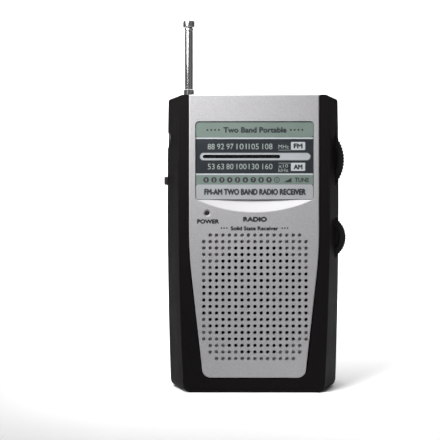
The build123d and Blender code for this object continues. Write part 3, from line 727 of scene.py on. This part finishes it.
RED_PAINT = PrintedInk("pointer_red", linear(150, 34, 26), 0.45, (0.12, 0.02, 0.02))
BOARD = BoardLaminate("board_laminate", linear(150, 108, 62), 0.5)
EPOXY = MouldedPlastic("chip_epoxy", linear(34, 34, 35), 0.6, grain=0.12, relief=0.02)
SLEEVE = MouldedPlastic("shrink_sleeve", linear(28, 42, 78), 0.3, grain=0.6, relief=0.004)
FERRITE = MouldedPlastic("sintered_ferrite", linear(52, 50, 50), 0.62, grain=0.2, relief=0.03)
COPPER_COIL = Windings("copper_winding", linear(184, 104, 56), 0.34)
CONE_PAPER = MouldedPlastic("cone_paper", linear(40, 39, 38), 0.85, grain=0.35, relief=0.05)
CELL_JACKET = PrintedInk("cell_jacket", linear(32, 38, 46), 0.3, (0.1, 0.1, 0.1))
CELL_BAND = PrintedInk("cell_band", linear(196, 142, 56), 0.3, (0.3, 0.2, 0.08))
SEAMLESS = StudioPaper("seamless_paper", linear(248, 248, 248), 0.75)


# --------------------------------------------------------------------------- mesh helpers
class Facing(Enum):
    """Which way the outside of a flat piece looks."""

    FRONT = -1
    BACK = 1


def new_piece(name: str, mesh: bmesh.types.BMesh, finish: Finish, smooth: float = 35.0) -> bpy.types.Object:
    """Turn a bmesh into a dressed object.

    Args:
        name: the piece's name.
        mesh: its mesh in metres, freed here.
        finish: its finish.
        smooth: edges turned by more than this many degrees stay sharp.

    Returns:
        The object, in the scene.
    """
    bmesh.ops.recalc_face_normals(mesh, faces=mesh.faces)
    data = bpy.data.meshes.new(name)
    mesh.to_mesh(data)
    mesh.free()
    data.shade_smooth()
    data.set_sharp_from_angle(angle=math.radians(smooth))
    data.materials.append(finish.material())
    made = bpy.data.objects.new(name, data)
    bpy.context.scene.collection.objects.link(made)
    return made


def add_slab(mesh: bmesh.types.BMesh, outline: Sequence[Point], back: float, front: float) -> None:
    """Add a closed flat slab.

    Args:
        mesh: the mesh that it joins.
        outline: its (x, z) corners in order, in millimetres.
        back: depth of one face in millimetres.
        front: depth of the other face in millimetres.
    """
    rows = []
    for depth in (back, front):
        rows.append([mesh.verts.new((x * MM, depth * MM, z * MM)) for x, z in outline])
    mesh.faces.new(rows[0])
    mesh.faces.new(rows[1][::-1])
    for index in range(len(outline)):
        after = (index + 1) % len(outline)
        mesh.faces.new((rows[0][after], rows[0][index], rows[1][index], rows[1][after]))


def add_ring(
    mesh: bmesh.types.BMesh,
    outer: Sequence[Point],
    inner: Sequence[Point],
    back: float,
    front: float,
) -> None:
    """Add a closed flat ring between two outlines with the same number of points.

    Args:
        mesh: the mesh that it joins.
        outer: outer (x, z) corners in millimetres.
        inner: inner (x, z) corners in millimetres.
        back: depth of one face.
        front: depth of the other face.
    """
    loops = []
    for outline, depth in ((outer, back), (outer, front), (inner, front), (inner, back)):
        loops.append([mesh.verts.new((x * MM, depth * MM, z * MM)) for x, z in outline])
    for start in range(4):
        one, two = loops[start], loops[(start + 1) % 4]
        for index in range(len(outer)):
            after = (index + 1) % len(outer)
            mesh.faces.new((one[index], one[after], two[after], two[index]))


def moved(box: Box, across: float, up: float) -> Box:
    """A box moved to the right and up."""
    left, right, low, high = box
    return left + across, right + across, low + up, high + up


def box_outline(box: Box, radius: float = 0.0) -> list[Point]:
    """Find the corners of a box.

    Args:
        box: left, right, low and high, in millimetres.
        radius: how round its corners are; 0 leaves them sharp.

    Returns:
        Its outline.
    """
    left, right, low, high = box
    if radius <= 0:
        return [(left, low), (right, low), (right, high), (left, high)]
    points = []
    for x, z, start in ((right, low, -90), (right, high, 0), (left, high, 90), (left, low, 180)):
        middle_x = x - radius if x == right else x + radius
        middle_z = z - radius if z == high else z + radius
        for step in range(ROUND_STEPS + 1):
            angle = math.radians(start + 90 * step / ROUND_STEPS)
            points.append((middle_x + radius * math.cos(angle), middle_z + radius * math.sin(angle)))
    return points


def capsule_outline(box: Box) -> list[Point]:
    """Outline of a box with fully rounded ends, a hair short of half circles."""
    return box_outline(box, (box[3] - box[2]) / 2 - 0.01)


def round_outline(x: float, z: float, radius: float, count: int) -> list[Point]:
    """Points round a circle."""
    turns = [2 * math.pi * index / count for index in range(count)]
    return [(x + radius * math.cos(turn), z + radius * math.sin(turn)) for turn in turns]


def turned(
    name: str,
    profile: Sequence[Point],
    centre: Point,
    finish: Finish,
    count: int = 72,
) -> bpy.types.Object:
    """Make an upright turned piece from a closed profile.

    Args:
        name: the piece's name.
        profile: (radius, height) points in millimetres, with its ends on the axis or closed.
        centre: where the axis stands, (x, y) in millimetres.
        finish: its finish.
        count: facets round the axis.

    Returns:
        The object.
    """
    mesh = bmesh.new()
    rings = []
    for radius, height in profile:
        ring = []
        for index in range(count if radius > ON_AXIS else 1):
            angle = 2 * math.pi * index / count
            corner = (centre[0] + radius * math.cos(angle), centre[1] + radius * math.sin(angle), height)
            ring.append(mesh.verts.new(Vector(corner) * MM))
        rings.append(ring)
    closed = profile[0][0] > ON_AXIS
    pairs = list(zip(rings, rings[1:])) + ([(rings[-1], rings[0])] if closed else [])
    for one, two in pairs:
        for index in range(count):
            after = (index + 1) % count
            order = ((one, index), (one, after), (two, after), (two, index))
            unique = list(dict.fromkeys(ring[at % len(ring)] for ring, at in order))
            if len(unique) > 2:
                mesh.faces.new(unique)
    return new_piece(name, mesh, finish, SHARP_TURNED)


def rounded_profile(bends: Sequence[Triple]) -> list[Point]:
    """Round the corners of a profile.

    Args:
        bends: (radius from the axis, place, rounding) for each corner, in millimetres.

    Returns:
        The profile with each rounding as a short run of points.
    """
    most_of_side = 0.45
    points: list[Point] = []
    for index, (across, place, rounding) in enumerate(bends):
        here = Vector((across, place))
        if rounding <= 0 or index in (0, len(bends) - 1):
            points.append((across, place))
            continue
        before = Vector(bends[index - 1][:2]) - here
        after = Vector(bends[index + 1][:2]) - here
        reach = min(rounding, before.length * most_of_side, after.length * most_of_side)
        start, end = here + before.normalized() * reach, here + after.normalized() * reach
        for step in range(ROUND_STEPS + 1):
            share = step / ROUND_STEPS
            point = start * (1 - share) ** 2 + here * 2 * share * (1 - share) + end * share**2
            points.append((point.x, point.y))
    return points


class Lettering:
    """Flat letters and figures, fitted into boxes and joined in one mesh."""

    ink_step = 0.004

    def __init__(self, back: float, front: float, facing: Facing = Facing.FRONT) -> None:
        """Start an empty mesh of print.

        Args:
            back: the depth that it starts from, in millimetres.
            front: the depth of its face.
            facing: which way it is read from.
        """
        self.back = back
        self.front = front
        self.facing = facing
        self.mesh = bmesh.new()

    def word(self, text: str, box: Box, weight: float = 0.0) -> None:
        """Fit a word into a box; bold print is struck four times, a little apart.

        Args:
            text: the word.
            box: its left, right, low and high, in millimetres.
            weight: how far each stroke is thickened, in millimetres.
        """
        curve = bpy.data.curves.new("letters", "FONT")
        curve.body = text
        curve.size = 1.0
        curve.resolution_u = 3
        stand_in = bpy.data.objects.new("letters", curve)
        bpy.context.scene.collection.objects.link(stand_in)
        graph = bpy.context.evaluated_depsgraph_get()
        flat = bpy.data.meshes.new_from_object(stand_in.evaluated_get(graph))
        left, right, low, high = box
        inside = (left + weight, right - weight, low + weight, high - weight)
        strikes = ((-1, 0), (1, 0), (0, -1), (0, 1)) if weight else ((0, 0),)
        for number, (across, up) in enumerate(strikes):
            self.strike(flat, inside, (across * weight, up * weight), number)
        bpy.data.meshes.remove(flat)
        bpy.data.objects.remove(stand_in)
        bpy.data.curves.remove(curve)

    def strike(self, flat: bpy.types.Mesh, box: Box, shift: Point, number: int) -> None:
        """Print a flat word once; each strike's ink lies on the one before.

        Args:
            flat: the word's mesh.
            box: left, right, low and high of the box that it fills.
            shift: how far it is moved to the right and up.
            number: how many strikes lie under it.
        """
        left, right, low, high = box
        across, up = shift
        front = self.front + self.facing.value * number * self.ink_step
        places = [vert.co for vert in flat.vertices]
        low_x, high_x = min(place.x for place in places), max(place.x for place in places)
        low_y, high_y = min(place.y for place in places), max(place.y for place in places)
        wide, tall = (right - left) / (high_x - low_x), (high - low) / (high_y - low_y)
        turn = -1 if self.facing is Facing.BACK else 1
        middle = (left + right) / 2
        part = bmesh.new()
        part.from_mesh(flat)
        for vert in part.verts:
            x = left + across + (vert.co.x - low_x) * wide
            z = low + up + (vert.co.y - low_y) * tall
            vert.co = Vector((middle + (x - middle) * turn, front, z)) * MM
        raised = bmesh.ops.extrude_face_region(part, geom=part.faces[:])
        for vert in (item for item in raised["geom"] if isinstance(item, bmesh.types.BMVert)):
            vert.co.y = self.back * MM
        joined = bpy.data.meshes.new("letters")
        part.to_mesh(joined)
        part.free()
        self.mesh.from_mesh(joined)
        bpy.data.meshes.remove(joined)

    def slab(self, outline: Sequence[Point]) -> None:
        """Add a flat shape to the print."""
        add_slab(self.mesh, outline, self.back, self.front)

    def ring(self, outer: Sequence[Point], inner: Sequence[Point]) -> None:
        """Add a flat ring to the print."""
        add_ring(self.mesh, outer, inner, self.back, self.front)

    def piece(self, name: str, finish: Finish, body: str, slot: str) -> bpy.types.Object:
        """Finish the print as one piece that rides on a body."""
        made = new_piece(name, self.mesh, finish, SHARP_PRINT)
        return settle(made, body)


def settle(piece: bpy.types.Object, body: str, replaced: Sequence[str] = ()) -> bpy.types.Object:
    """Tie a piece to the frame.

    Args:
        piece: the piece.
        body: the body that it rides on.
        replaced: CAD nodes that it stands for.

    Returns:
        The piece.
    """
    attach(piece, body)
    if replaced:
        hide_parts(*replaced)
    log.info("piece %s rides on %s", piece.name, body)
    return piece


def dress(node: str, finish: Finish) -> None:
    """Give a CAD node its finish.

    Args:
        node: the node.
        finish: the finish of every face of it.
    """
    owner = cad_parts[node]
    if not owner.material_slots:
        owner.data.materials.append(None)
    for material_slot in owner.material_slots:
        material_slot.material = finish.material()
    log.info("node %s is dressed in %s", node, finish.name)


# --------------------------------------------------------------------------- sub-assemblies
@dataclass
class Cabinet:
    """The black two-part case, its battery door and its screws."""

    arrow_width: float = 5.0
    arrow_height: float = 3.2
    arrow_share: float = 0.74
    root: float = 0.05
    relief: float = 0.25

    def build(self) -> None:
        """Dress the shells and add the door's moulded arrow."""
        for node in ("front_cabinet", "rear_cabinet", "battery_door"):
            dress(node, BLACK_CASE)
        dress("case_screws", ZINC)
        low, high = corners("battery_door")
        middle, _, _ = middle_of("battery_door")
        top = low.z + (high.z - low.z) * self.arrow_share
        half = self.arrow_width / 2
        moulded = Lettering(high.y - self.root, high.y + self.relief, Facing.BACK)
        moulded.slab([(middle - half, top), (middle, top - self.arrow_height), (middle + half, top)])
        moulded.piece("door_arrow", BLACK_CASE, "door", "cabinet")


@dataclass
class FrontPanel:
    """The silver front: lacquer, printed legends, lamp and speaker scrim.

    A legend is its words, their box and how far the strokes are thickened. Heights are measured
    from the lamp's middle, and widths from the middle of the lamp or the panel.
    """

    ink: float = 0.02
    lamp_legends: tuple[Legend, ...] = (("POWER", (-3.6, 4.2, -3.75, -2.1), 0.15),)
    panel_legends: tuple[Legend, ...] = (
        ("RADIO", (-3.9, 4.6, -3.1, -1.2), 0.2),
        ("Solid State Receiver", (-8.3, 8.6, -6.1, -4.6), 0.12),
    )
    dot_rows: tuple[tuple[int, float], ...] = ((-1, -9.6), (1, 9.9))
    dot_count: int = 3
    dot_step: float = 0.95
    dot_z: float = -5.25
    dot_radius: float = 0.28
    dot_facets: int = 20

    def build(self) -> None:
        """Dress the panel and print its legends."""
        dress("front_panel", SILVER_LACQUER)
        dress("speaker_cloth", SCRIM)
        dress("power_lamp", LAMP_LENS)
        self.print_legends()

    def print_legends(self) -> None:
        """Print the words and dots between the dial and the grille."""
        low, _ = corners("front_panel")
        middle, _, _ = middle_of("front_panel")
        lamp_x, _, lamp_z = middle_of("power_lamp")
        print_face = Lettering(low.y, low.y - self.ink)
        for across, legends in ((lamp_x, self.lamp_legends), (middle, self.panel_legends)):
            for text, box, weight in legends:
                print_face.word(text, moved(box, across, lamp_z), weight)
        for side, start in self.dot_rows:
            for dot in range(self.dot_count):
                dot_x = middle + start + side * dot * self.dot_step
                print_face.slab(round_outline(dot_x, lamp_z + self.dot_z, self.dot_radius, self.dot_facets))
        print_face.piece("panel_legends", PRINT_BLACK, "case", "panel")


@dataclass
class Dial:
    """The dial plate with its printed scales and the clear strip.

    Places are in millimetres from the plate's left edge and foot, and boxes are left, right, low
    and high. A legend is its words, their box and how far the strokes are thickened.
    """

    ink: float = 0.02
    root: float = 0.01
    margin: float = 0.08
    corner: float = 0.9
    band_tops: tuple[float, float] = (27.35, 22.0)
    rule_tops: tuple[float, float] = (21.9, 9.2)
    rule_height: float = 0.55
    lower_band: tuple[float, float] = (8.6, 5.3)
    number_x: tuple[float, ...] = (5.55, 8.85, 12.15, 16.25, 20.55, 25.35)
    upper_numbers: tuple[str, ...] = ("88", "92", "97", "101", "105", "108")
    lower_numbers: tuple[str, ...] = ("53", "63", "80", "100", "130", "160")
    number_height: float = 2.0
    upper_foot: float = 17.7
    lower_foot: float = 10.65
    digit_half: float = 0.56
    digit_spare: float = 0.1
    units: tuple[Legend, ...] = (
        ("MHz", (29.25, 32.9, 18.0, 19.3), 0.0),
        ("kHz", (29.25, 32.7, 9.75, 10.95), 0.0),
        ("x10", (29.25, 32.6, 11.25, 12.45), 0.0),
    )
    underlines: tuple[Box, ...] = ((29.25, 33.65, 17.35, 17.5), (29.25, 33.65, 12.75, 12.9))
    bands: tuple[tuple[str, float], ...] = (("FM", 17.45), ("AM", 10.1))
    band_box: Box = (33.65, 38.65, 0.0, 2.85)
    band_corner: float = 0.3
    band_letters: Box = (34.55, 37.75, 0.5, 2.35)
    band_weight: float = 0.14
    capsule: Box = (1.55, 40.55, 13.8, 16.5)
    capsule_edge: float = 0.22
    slot: Box = (2.55, 29.85, 14.55, 15.8)
    dark_words: tuple[Legend, ...] = (
        ("Two Band Portable", (9.75, 32.15, 23.5, 25.6), 0.15),
        ("TUNE", (34.95, 40.0, 6.1, 7.7), 0.06),
        ("FM-AM TWO BAND RADIO RECEIVER", (3.05, 38.95, 1.55, 3.85), 0.17),
    )
    wedge: tuple[Point, ...] = ((31.15, 6.1), (33.85, 6.1), (33.85, 7.7))
    dot_starts: tuple[float, float] = (4.2, 33.6)
    dot_count: int = 4
    dot_step: float = 1.35
    dot_z: float = 24.55
    dot_radius: float = 0.36
    dot_facets: int = 20
    scale_start: float = 3.75
    scale_step: float = 2.77
    scale_count: int = 10
    scale_z: float = 6.95
    scale_radius: float = 1.0
    scale_edge: float = 0.22
    scale_facets: int = 36
    figure_box: Box = (-0.25, 0.25, -0.5, 0.5)
    narrow_box: Box = (-0.14, 0.14, -0.5, 0.5)
    figure_weight: float = 0.03

    def build(self) -> None:
        """Dress the plate, then print one ink after another."""
        dress("dial_plate", DIAL_NAVY)
        dress("dial_window", CLEAR_STRIP)
        low, high = corners("dial_plate")
        self.left, self.foot, self.face = low.x, low.z, low.y
        self.right_margin = high.x - low.x - self.margin
        self.print_grounds()
        self.print_capsule()
        self.print_scales()
        self.print_words()

    def box(self, place: Box) -> Box:
        """A box on the plate, in the radio's frame."""
        return moved(place, self.left, self.foot)

    def strip(self, low: float, high: float, radius: float = 0.0) -> list[Point]:
        """Outline of a strip right across the plate."""
        return box_outline(self.box((self.margin, self.right_margin, low, high)), radius)

    def layer(self, number: int) -> Lettering:
        """Start a layer of print: higher numbers stand prouder."""
        return Lettering(self.face + self.root, self.face - self.ink * number)

    def print_grounds(self) -> None:
        """Print the green bands, the light field and the two white rules."""
        green = self.layer(1)
        green.slab(self.strip(self.band_tops[1], self.band_tops[0], self.corner))
        green.slab(self.strip(self.lower_band[1], self.lower_band[0]))
        green.piece("dial_green_bands", PRINT_GREEN, "case", "dial")
        light = self.layer(1)
        light.slab(self.strip(self.margin, self.lower_band[1], self.corner))
        light.piece("dial_light_field", PRINT_LIGHT, "case", "dial")
        rules = self.layer(1)
        for top in self.rule_tops:
            rules.slab(self.strip(top - self.rule_height, top))
        rules.piece("dial_rules", PRINT_WHITE, "case", "dial")

    def print_capsule(self) -> None:
        """Print the light capsule round the slot, and its rim."""
        left, right, low, high = self.box(self.capsule)
        edge = self.capsule_edge
        within = capsule_outline((left + edge, right - edge, low + edge, high - edge))
        rim = self.layer(1)
        rim.ring(capsule_outline((left, right, low, high)), within)
        rim.piece("capsule_rim", PRINT_RIM, "case", "dial")
        ground = self.layer(1)
        ground.ring(within, capsule_outline(self.box(self.slot)))
        ground.piece("capsule_ground", CAPSULE_WHITE, "case", "dial")

    def print_scales(self) -> None:
        """Print the two rows of figures with their band names and units."""
        figures = self.layer(1)
        for names, foot in ((self.upper_numbers, self.upper_foot), (self.lower_numbers, self.lower_foot)):
            for place, name in zip(self.number_x, names):
                half = self.digit_half * len(name) + self.digit_spare
                figures.word(name, self.box((place - half, place + half, foot, foot + self.number_height)))
        for text, place, weight in self.units:
            figures.word(text, self.box(place), weight)
        for place in self.underlines:
            figures.slab(box_outline(self.box(place)))
        figures.piece("dial_figures", PRINT_PALE, "case", "dial")
        boxes = self.layer(1)
        for _, foot in self.bands:
            boxes.slab(box_outline(self.box(moved(self.band_box, 0.0, foot)), self.band_corner))
        boxes.piece("band_boxes", PRINT_WHITE, "case", "dial")
        letters = self.layer(2)
        for name, foot in self.bands:
            letters.word(name, self.box(moved(self.band_letters, 0.0, foot)), self.band_weight)
        letters.piece("band_letters", PRINT_DARK, "case", "dial")

    def print_words(self) -> None:
        """Print the heading, the logging scale and the bottom line."""
        dark = self.layer(2)
        for text, place, weight in self.dark_words:
            dark.word(text, self.box(place), weight)
        for start in self.dot_starts:
            for dot in range(self.dot_count):
                dot_x = self.left + start + dot * self.dot_step
                dark.slab(round_outline(dot_x, self.foot + self.dot_z, self.dot_radius, self.dot_facets))
        dark.slab([(self.left + across, self.foot + up) for across, up in self.wedge])
        figures = self.layer(3)
        for number in range(1, self.scale_count + 1):
            across = self.left + self.scale_start + (number - 1) * self.scale_step
            up = self.foot + self.scale_z
            disc = round_outline(across, up, self.scale_radius, self.scale_facets)
            if number == self.scale_count:
                within = round_outline(across, up, self.scale_radius - self.scale_edge, self.scale_facets)
                dark.ring(disc, within)
                dark.word("0", moved(self.figure_box, across, up))
            else:
                dark.slab(disc)
                place = self.narrow_box if number == 1 else self.figure_box
                figures.word(str(number), moved(place, across, up), self.figure_weight)
        dark.piece("dial_dark_print", PRINT_DARK, "case", "dial")
        figures.piece("logging_figures", PRINT_PALE, "case", "dial")


@dataclass
class TuningDrive:
    """Tuning wheel, idler, rack and pointer, with the parts that hold them."""

    def build(self) -> None:
        """Dress the drive."""
        dress("tuning_wheel", BLACK_WHEEL)
        dress("pointer_rack", BLACK_INSIDE)
        dress("dial_bracket", BLACK_INSIDE)
        for node in ("idler_gear", "tuning_capacitor", "ferrite_clips"):
            dress(node, ACETAL)
        for node in ("tuning_wheel_screw", "idler_pin", "dial_bracket_screws"):
            dress(node, ZINC)
        dress("tuning_shaft", BRASS)
        dress("pointer_needle", RED_PAINT)


@dataclass
class SideControls:
    """Volume wheel, band switch and earphone jack."""

    def build(self) -> None:
        """Dress the controls."""
        dress("volume_wheel", BLACK_WHEEL)
        dress("band_switch_knob", BLACK_WHEEL)
        dress("earphone_jack", BLACK_INSIDE)
        for node in ("volume_screw", "volume_control", "band_switch"):
            dress(node, ZINC)


@dataclass
class Antenna:
    """The telescopic antenna with its bracket and its turned knob.

    The knob's profile is in (radius, height, rounding) rows. The waist and belly are measured up
    from its foot, the shoulder and crown from its top, and the radii of the belly and shoulder from
    its full radius.
    """

    bore: tuple[Point, ...] = ((0.0, 0.4), (0.8, 0.4))
    waist: tuple[Triple, ...] = ((0.8, 0.0, 0.0), (1.6, 0.0, 0.2), (1.75, 0.35, 0.2), (1.6, 0.8, 0.2))
    belly: tuple[Triple, ...] = ((-0.1, 1.3, 0.3), (0.0, 1.6, 0.2))
    shoulder: tuple[Triple, ...] = ((0.0, -0.9, 0.4), (-0.5, -0.3, 0.4))
    crown: tuple[Triple, ...] = ((1.1, 0.0, 0.7), (0.0, 0.0, 0.0))

    def build(self) -> None:
        """Dress the tubes and the bracket, and turn the knob."""
        for node in ("antenna_outer_tube", "antenna_middle_tube", "antenna_inner_tube", "antenna_rod"):
            dress(node, CHROME)
        for node in ("antenna_bracket", "antenna_screw"):
            dress(node, ZINC)
        self.turn_knob()

    def turn_knob(self) -> None:
        """Turn the knob on the rod's end: waist, rounded belly and crowned top."""
        low, high = corners("antenna_knob")
        across, along, _ = middle_of("antenna_knob")
        full = (high.x - low.x) / 2
        sections = (
            (self.waist, 0.0, low.z),
            (self.belly, full, low.z),
            (self.shoulder, full, high.z),
            (self.crown, 0.0, high.z),
        )
        outline = [
            (wide + radius, start + height, rounding)
            for rows, wide, start in sections
            for radius, height, rounding in rows
        ]
        inside = [(radius, low.z + height) for radius, height in self.bore]
        knob = turned("antenna_knob_turned", inside + rounded_profile(outline), (across, along), KNOB_CHROME)
        settle(knob, "antenna_tip", ["antenna_knob"])


@dataclass
class Loudspeaker:
    """Basket, cone, dust cap and magnet behind the grille."""

    def build(self) -> None:
        """Dress the loudspeaker."""
        dress("speaker_basket", ZINC)
        dress("speaker_magnet", ZINC)
        dress("speaker_cone", CONE_PAPER)
        dress("speaker_dust_cap", CONE_PAPER)


@dataclass
class PowerSupply:
    """Two jacketed cells with their springs and contacts.

    A can's profile is in (radius, height) rows, from its flat end, its shoulder or its tip. The
    radii of the two bends are measured from the can's side.
    """

    tip: float = 1.0
    flat_rows: tuple[Point, ...] = ((0.0, 0.0), (4.6, 0.0), (4.8, 0.2), (6.2, 0.2), (6.5, 0.0))
    flat_bend: tuple[Point, ...] = ((-0.25, 0.15), (-0.08, 0.5))
    shoulder_bend: tuple[Point, ...] = ((-0.08, -0.5), (-0.4, -0.05))
    shoulder_rows: tuple[Point, ...] = ((6.1, 0.0), (5.8, -0.35), (2.8, -0.2))
    tip_rows: tuple[Point, ...] = ((2.7, -0.15), (2.5, 0.0), (0.0, 0.0))
    band_start: float = 36.0
    bare: float = 0.7
    sleeve_under: float = 0.1
    sleeve_gap: float = 0.02
    sleeve_roll: float = 0.1

    def build(self) -> None:
        """Dress the contacts and make the cells."""
        for node in ("left_spring", "right_spring", "battery_contacts", "battery_bridge"):
            dress(node, ZINC)
        self.make_cell("left_cell", tip_up=False)
        self.make_cell("right_cell", tip_up=True)

    def make_cell(self, node: str, tip_up: bool) -> None:
        """Make one cell: can, printed jacket and coloured band.

        Args:
            node: the CAD node that it stands for.
            tip_up: whether the small contact is at the top.
        """
        low, high = corners(node)
        across, along, _ = middle_of(node)
        radius = (high.x - low.x) / 2
        turn = 1 if tip_up else -1
        flat_end, tip_end = (low.z, high.z) if tip_up else (high.z, low.z)
        shoulder = tip_end - turn * self.tip
        sections = (
            (self.flat_rows, 0.0, flat_end),
            (self.flat_bend, radius, flat_end),
            (self.shoulder_bend, radius, shoulder),
            (self.shoulder_rows, 0.0, shoulder),
            (self.tip_rows, 0.0, tip_end),
        )
        profile = [(side + wide, start + turn * up) for rows, side, start in sections for wide, up in rows]
        can = turned(node + "_can", profile, (across, along), DRAWN_CAN)
        settle(can, "case", [node])
        band = flat_end + turn * self.band_start
        for part, start, end, finish in (
            ("jacket", flat_end + turn * self.bare, band, CELL_JACKET),
            ("band", band, shoulder - turn * self.bare, CELL_BAND),
        ):
            roll = turn * self.sleeve_roll
            inner, outer = radius - self.sleeve_under, radius - self.sleeve_gap
            sleeve = [(inner, start), (outer, start + roll), (outer, end - roll), (inner, end)]
            settle(turned(node + "_" + part, sleeve, (across, along), finish), "case")


@dataclass
class Electronics:
    """Circuit board with its components and the ferrite aerial."""

    def build(self) -> None:
        """Dress the board and what stands on it."""
        finishes = {
            "circuit_board": BOARD,
            "circuit_board_screws": ZINC,
            "receiver_chip": EPOXY,
            "tuned_transformers": DRAWN_CAN,
            "tuning_slugs": FERRITE,
            "electrolytic_capacitors": SLEEVE,
            "ferrite_rod": FERRITE,
            "ferrite_coil": COPPER_COIL,
        }
        for node, finish in finishes.items():
            dress(node, finish)


@dataclass(frozen=True)
class SoftLight:
    """A soft square light.

    Its place, target and size are in metres, its power in watts and its spread in degrees.
    """

    name: str
    place: Triple
    target: Triple
    size: float
    power: float
    spread: float = 180.0

    def hang(self) -> None:
        """Hang the light in the scene."""
        data = bpy.data.lights.new(self.name, "AREA")
        data.shape = "SQUARE"
        data.size = self.size
        data.energy = self.power
        data.spread = math.radians(self.spread)
        lamp = bpy.data.objects.new(self.name, data)
        lamp.location = self.place
        aim = Vector(self.target) - Vector(self.place)
        lamp.rotation_euler = aim.to_track_quat("-Z", "Y").to_euler()
        bpy.context.scene.collection.objects.link(lamp)


@dataclass
class Studio:
    """Seamless paper in metres, soft lights, and the camera in millimetres."""

    reach: float = 290.0
    camera_x: float = -10.0
    aim_x: float = -12.0
    aim_z: float = 60.8
    lens: float = 67.4
    sensor: float = 36.0
    nearest: float = 0.01
    floor_near: float = -0.9
    floor_far: float = 0.35
    floor_half: float = 0.46
    bend: float = 0.6
    bend_step: int = 6
    paper_top: float = 2.2
    sky_strength: float = 0.12
    lights: tuple[SoftLight, ...] = (
        SoftLight("key_light", (-0.085, -0.105, 0.2), (0.0, 0.0, 0.09), 0.12, 0.19, 66.0),
        SoftLight("fill_light", (0.45, -0.5, 0.2), (0.0, 0.0, 0.06), 0.5, 0.06),
        SoftLight("overhead_light", (0.0, 0.3, 0.8), (0.0, 0.3, 0.0), 0.9, 6.6),
        SoftLight("backdrop_light", (0.0, 0.2, 0.55), (0.0, 0.95, 0.3), 0.5, 6.6),
    )

    def build(self) -> None:
        """Lay the paper, hang the lights and stand the camera."""
        self.lay_paper()
        for soft_light in self.lights:
            soft_light.hang()
        self.make_sky()
        self.set_camera()

    def lay_paper(self) -> None:
        """Lay seamless paper that curves up behind the radio."""
        mesh = bmesh.new()
        sweep = [(self.floor_near, 0.0), (self.floor_far, 0.0)]
        for degrees in range(self.bend_step, 91, self.bend_step):
            turn = math.radians(degrees)
            back, rise = self.bend * math.sin(turn), self.bend * (1 - math.cos(turn))
            sweep.append((self.floor_far + back, rise))
        sweep.append((self.floor_far + self.bend, self.paper_top))
        rows = [
            [mesh.verts.new((side * self.floor_half, depth, height)) for side in (-1, 1)]
            for depth, height in sweep
        ]
        for one, two in zip(rows, rows[1:]):
            mesh.faces.new((one[0], one[1], two[1], two[0]))
        new_piece("seamless_paper", mesh, SEAMLESS, SHARP_PAPER)

    def make_sky(self) -> None:
        """Fill the shadows with a weak even sky."""
        world = bpy.data.worlds.new("soft_sky")
        world.use_nodes = True
        sky = world.node_tree.nodes["Background"]
        sky.inputs["Color"].default_value = (1.0, 1.0, 1.0, 1.0)
        sky.inputs["Strength"].default_value = self.sky_strength
        bpy.context.scene.world = world
        bpy.context.scene.view_settings.view_transform = "Standard"

    def set_camera(self) -> None:
        """Stand the camera level, a little left of the radio."""
        low, _ = corners("front_panel")
        data = bpy.data.cameras.new("camera")
        data.lens = self.lens
        data.sensor_width = self.sensor
        data.clip_start = self.nearest
        camera = bpy.data.objects.new("camera", data)
        aim = Vector((self.aim_x, low.y, self.aim_z))
        camera.location = Vector((self.camera_x, low.y - self.reach, self.aim_z)) * MM
        camera.rotation_euler = (aim * MM - camera.location).to_track_quat("-Z", "Y").to_euler()
        bpy.context.scene.collection.objects.link(camera)
        bpy.context.scene.camera = camera


def main() -> None:
    """Build every sub-assembly."""
    logging.basicConfig(level=logging.INFO, format="%(name)s: %(message)s")
    assemblies: Iterable[Any] = (
        Studio(),
        Cabinet(),
        FrontPanel(),
        Dial(),
        TuningDrive(),
        SideControls(),
        Antenna(),
        Loudspeaker(),
        PowerSupply(),
        Electronics(),
    )
    for assembly in assemblies:
        assembly.build()
        log.info("%s is done", type(assembly).__name__)


if __name__ == "__main__":
    main()
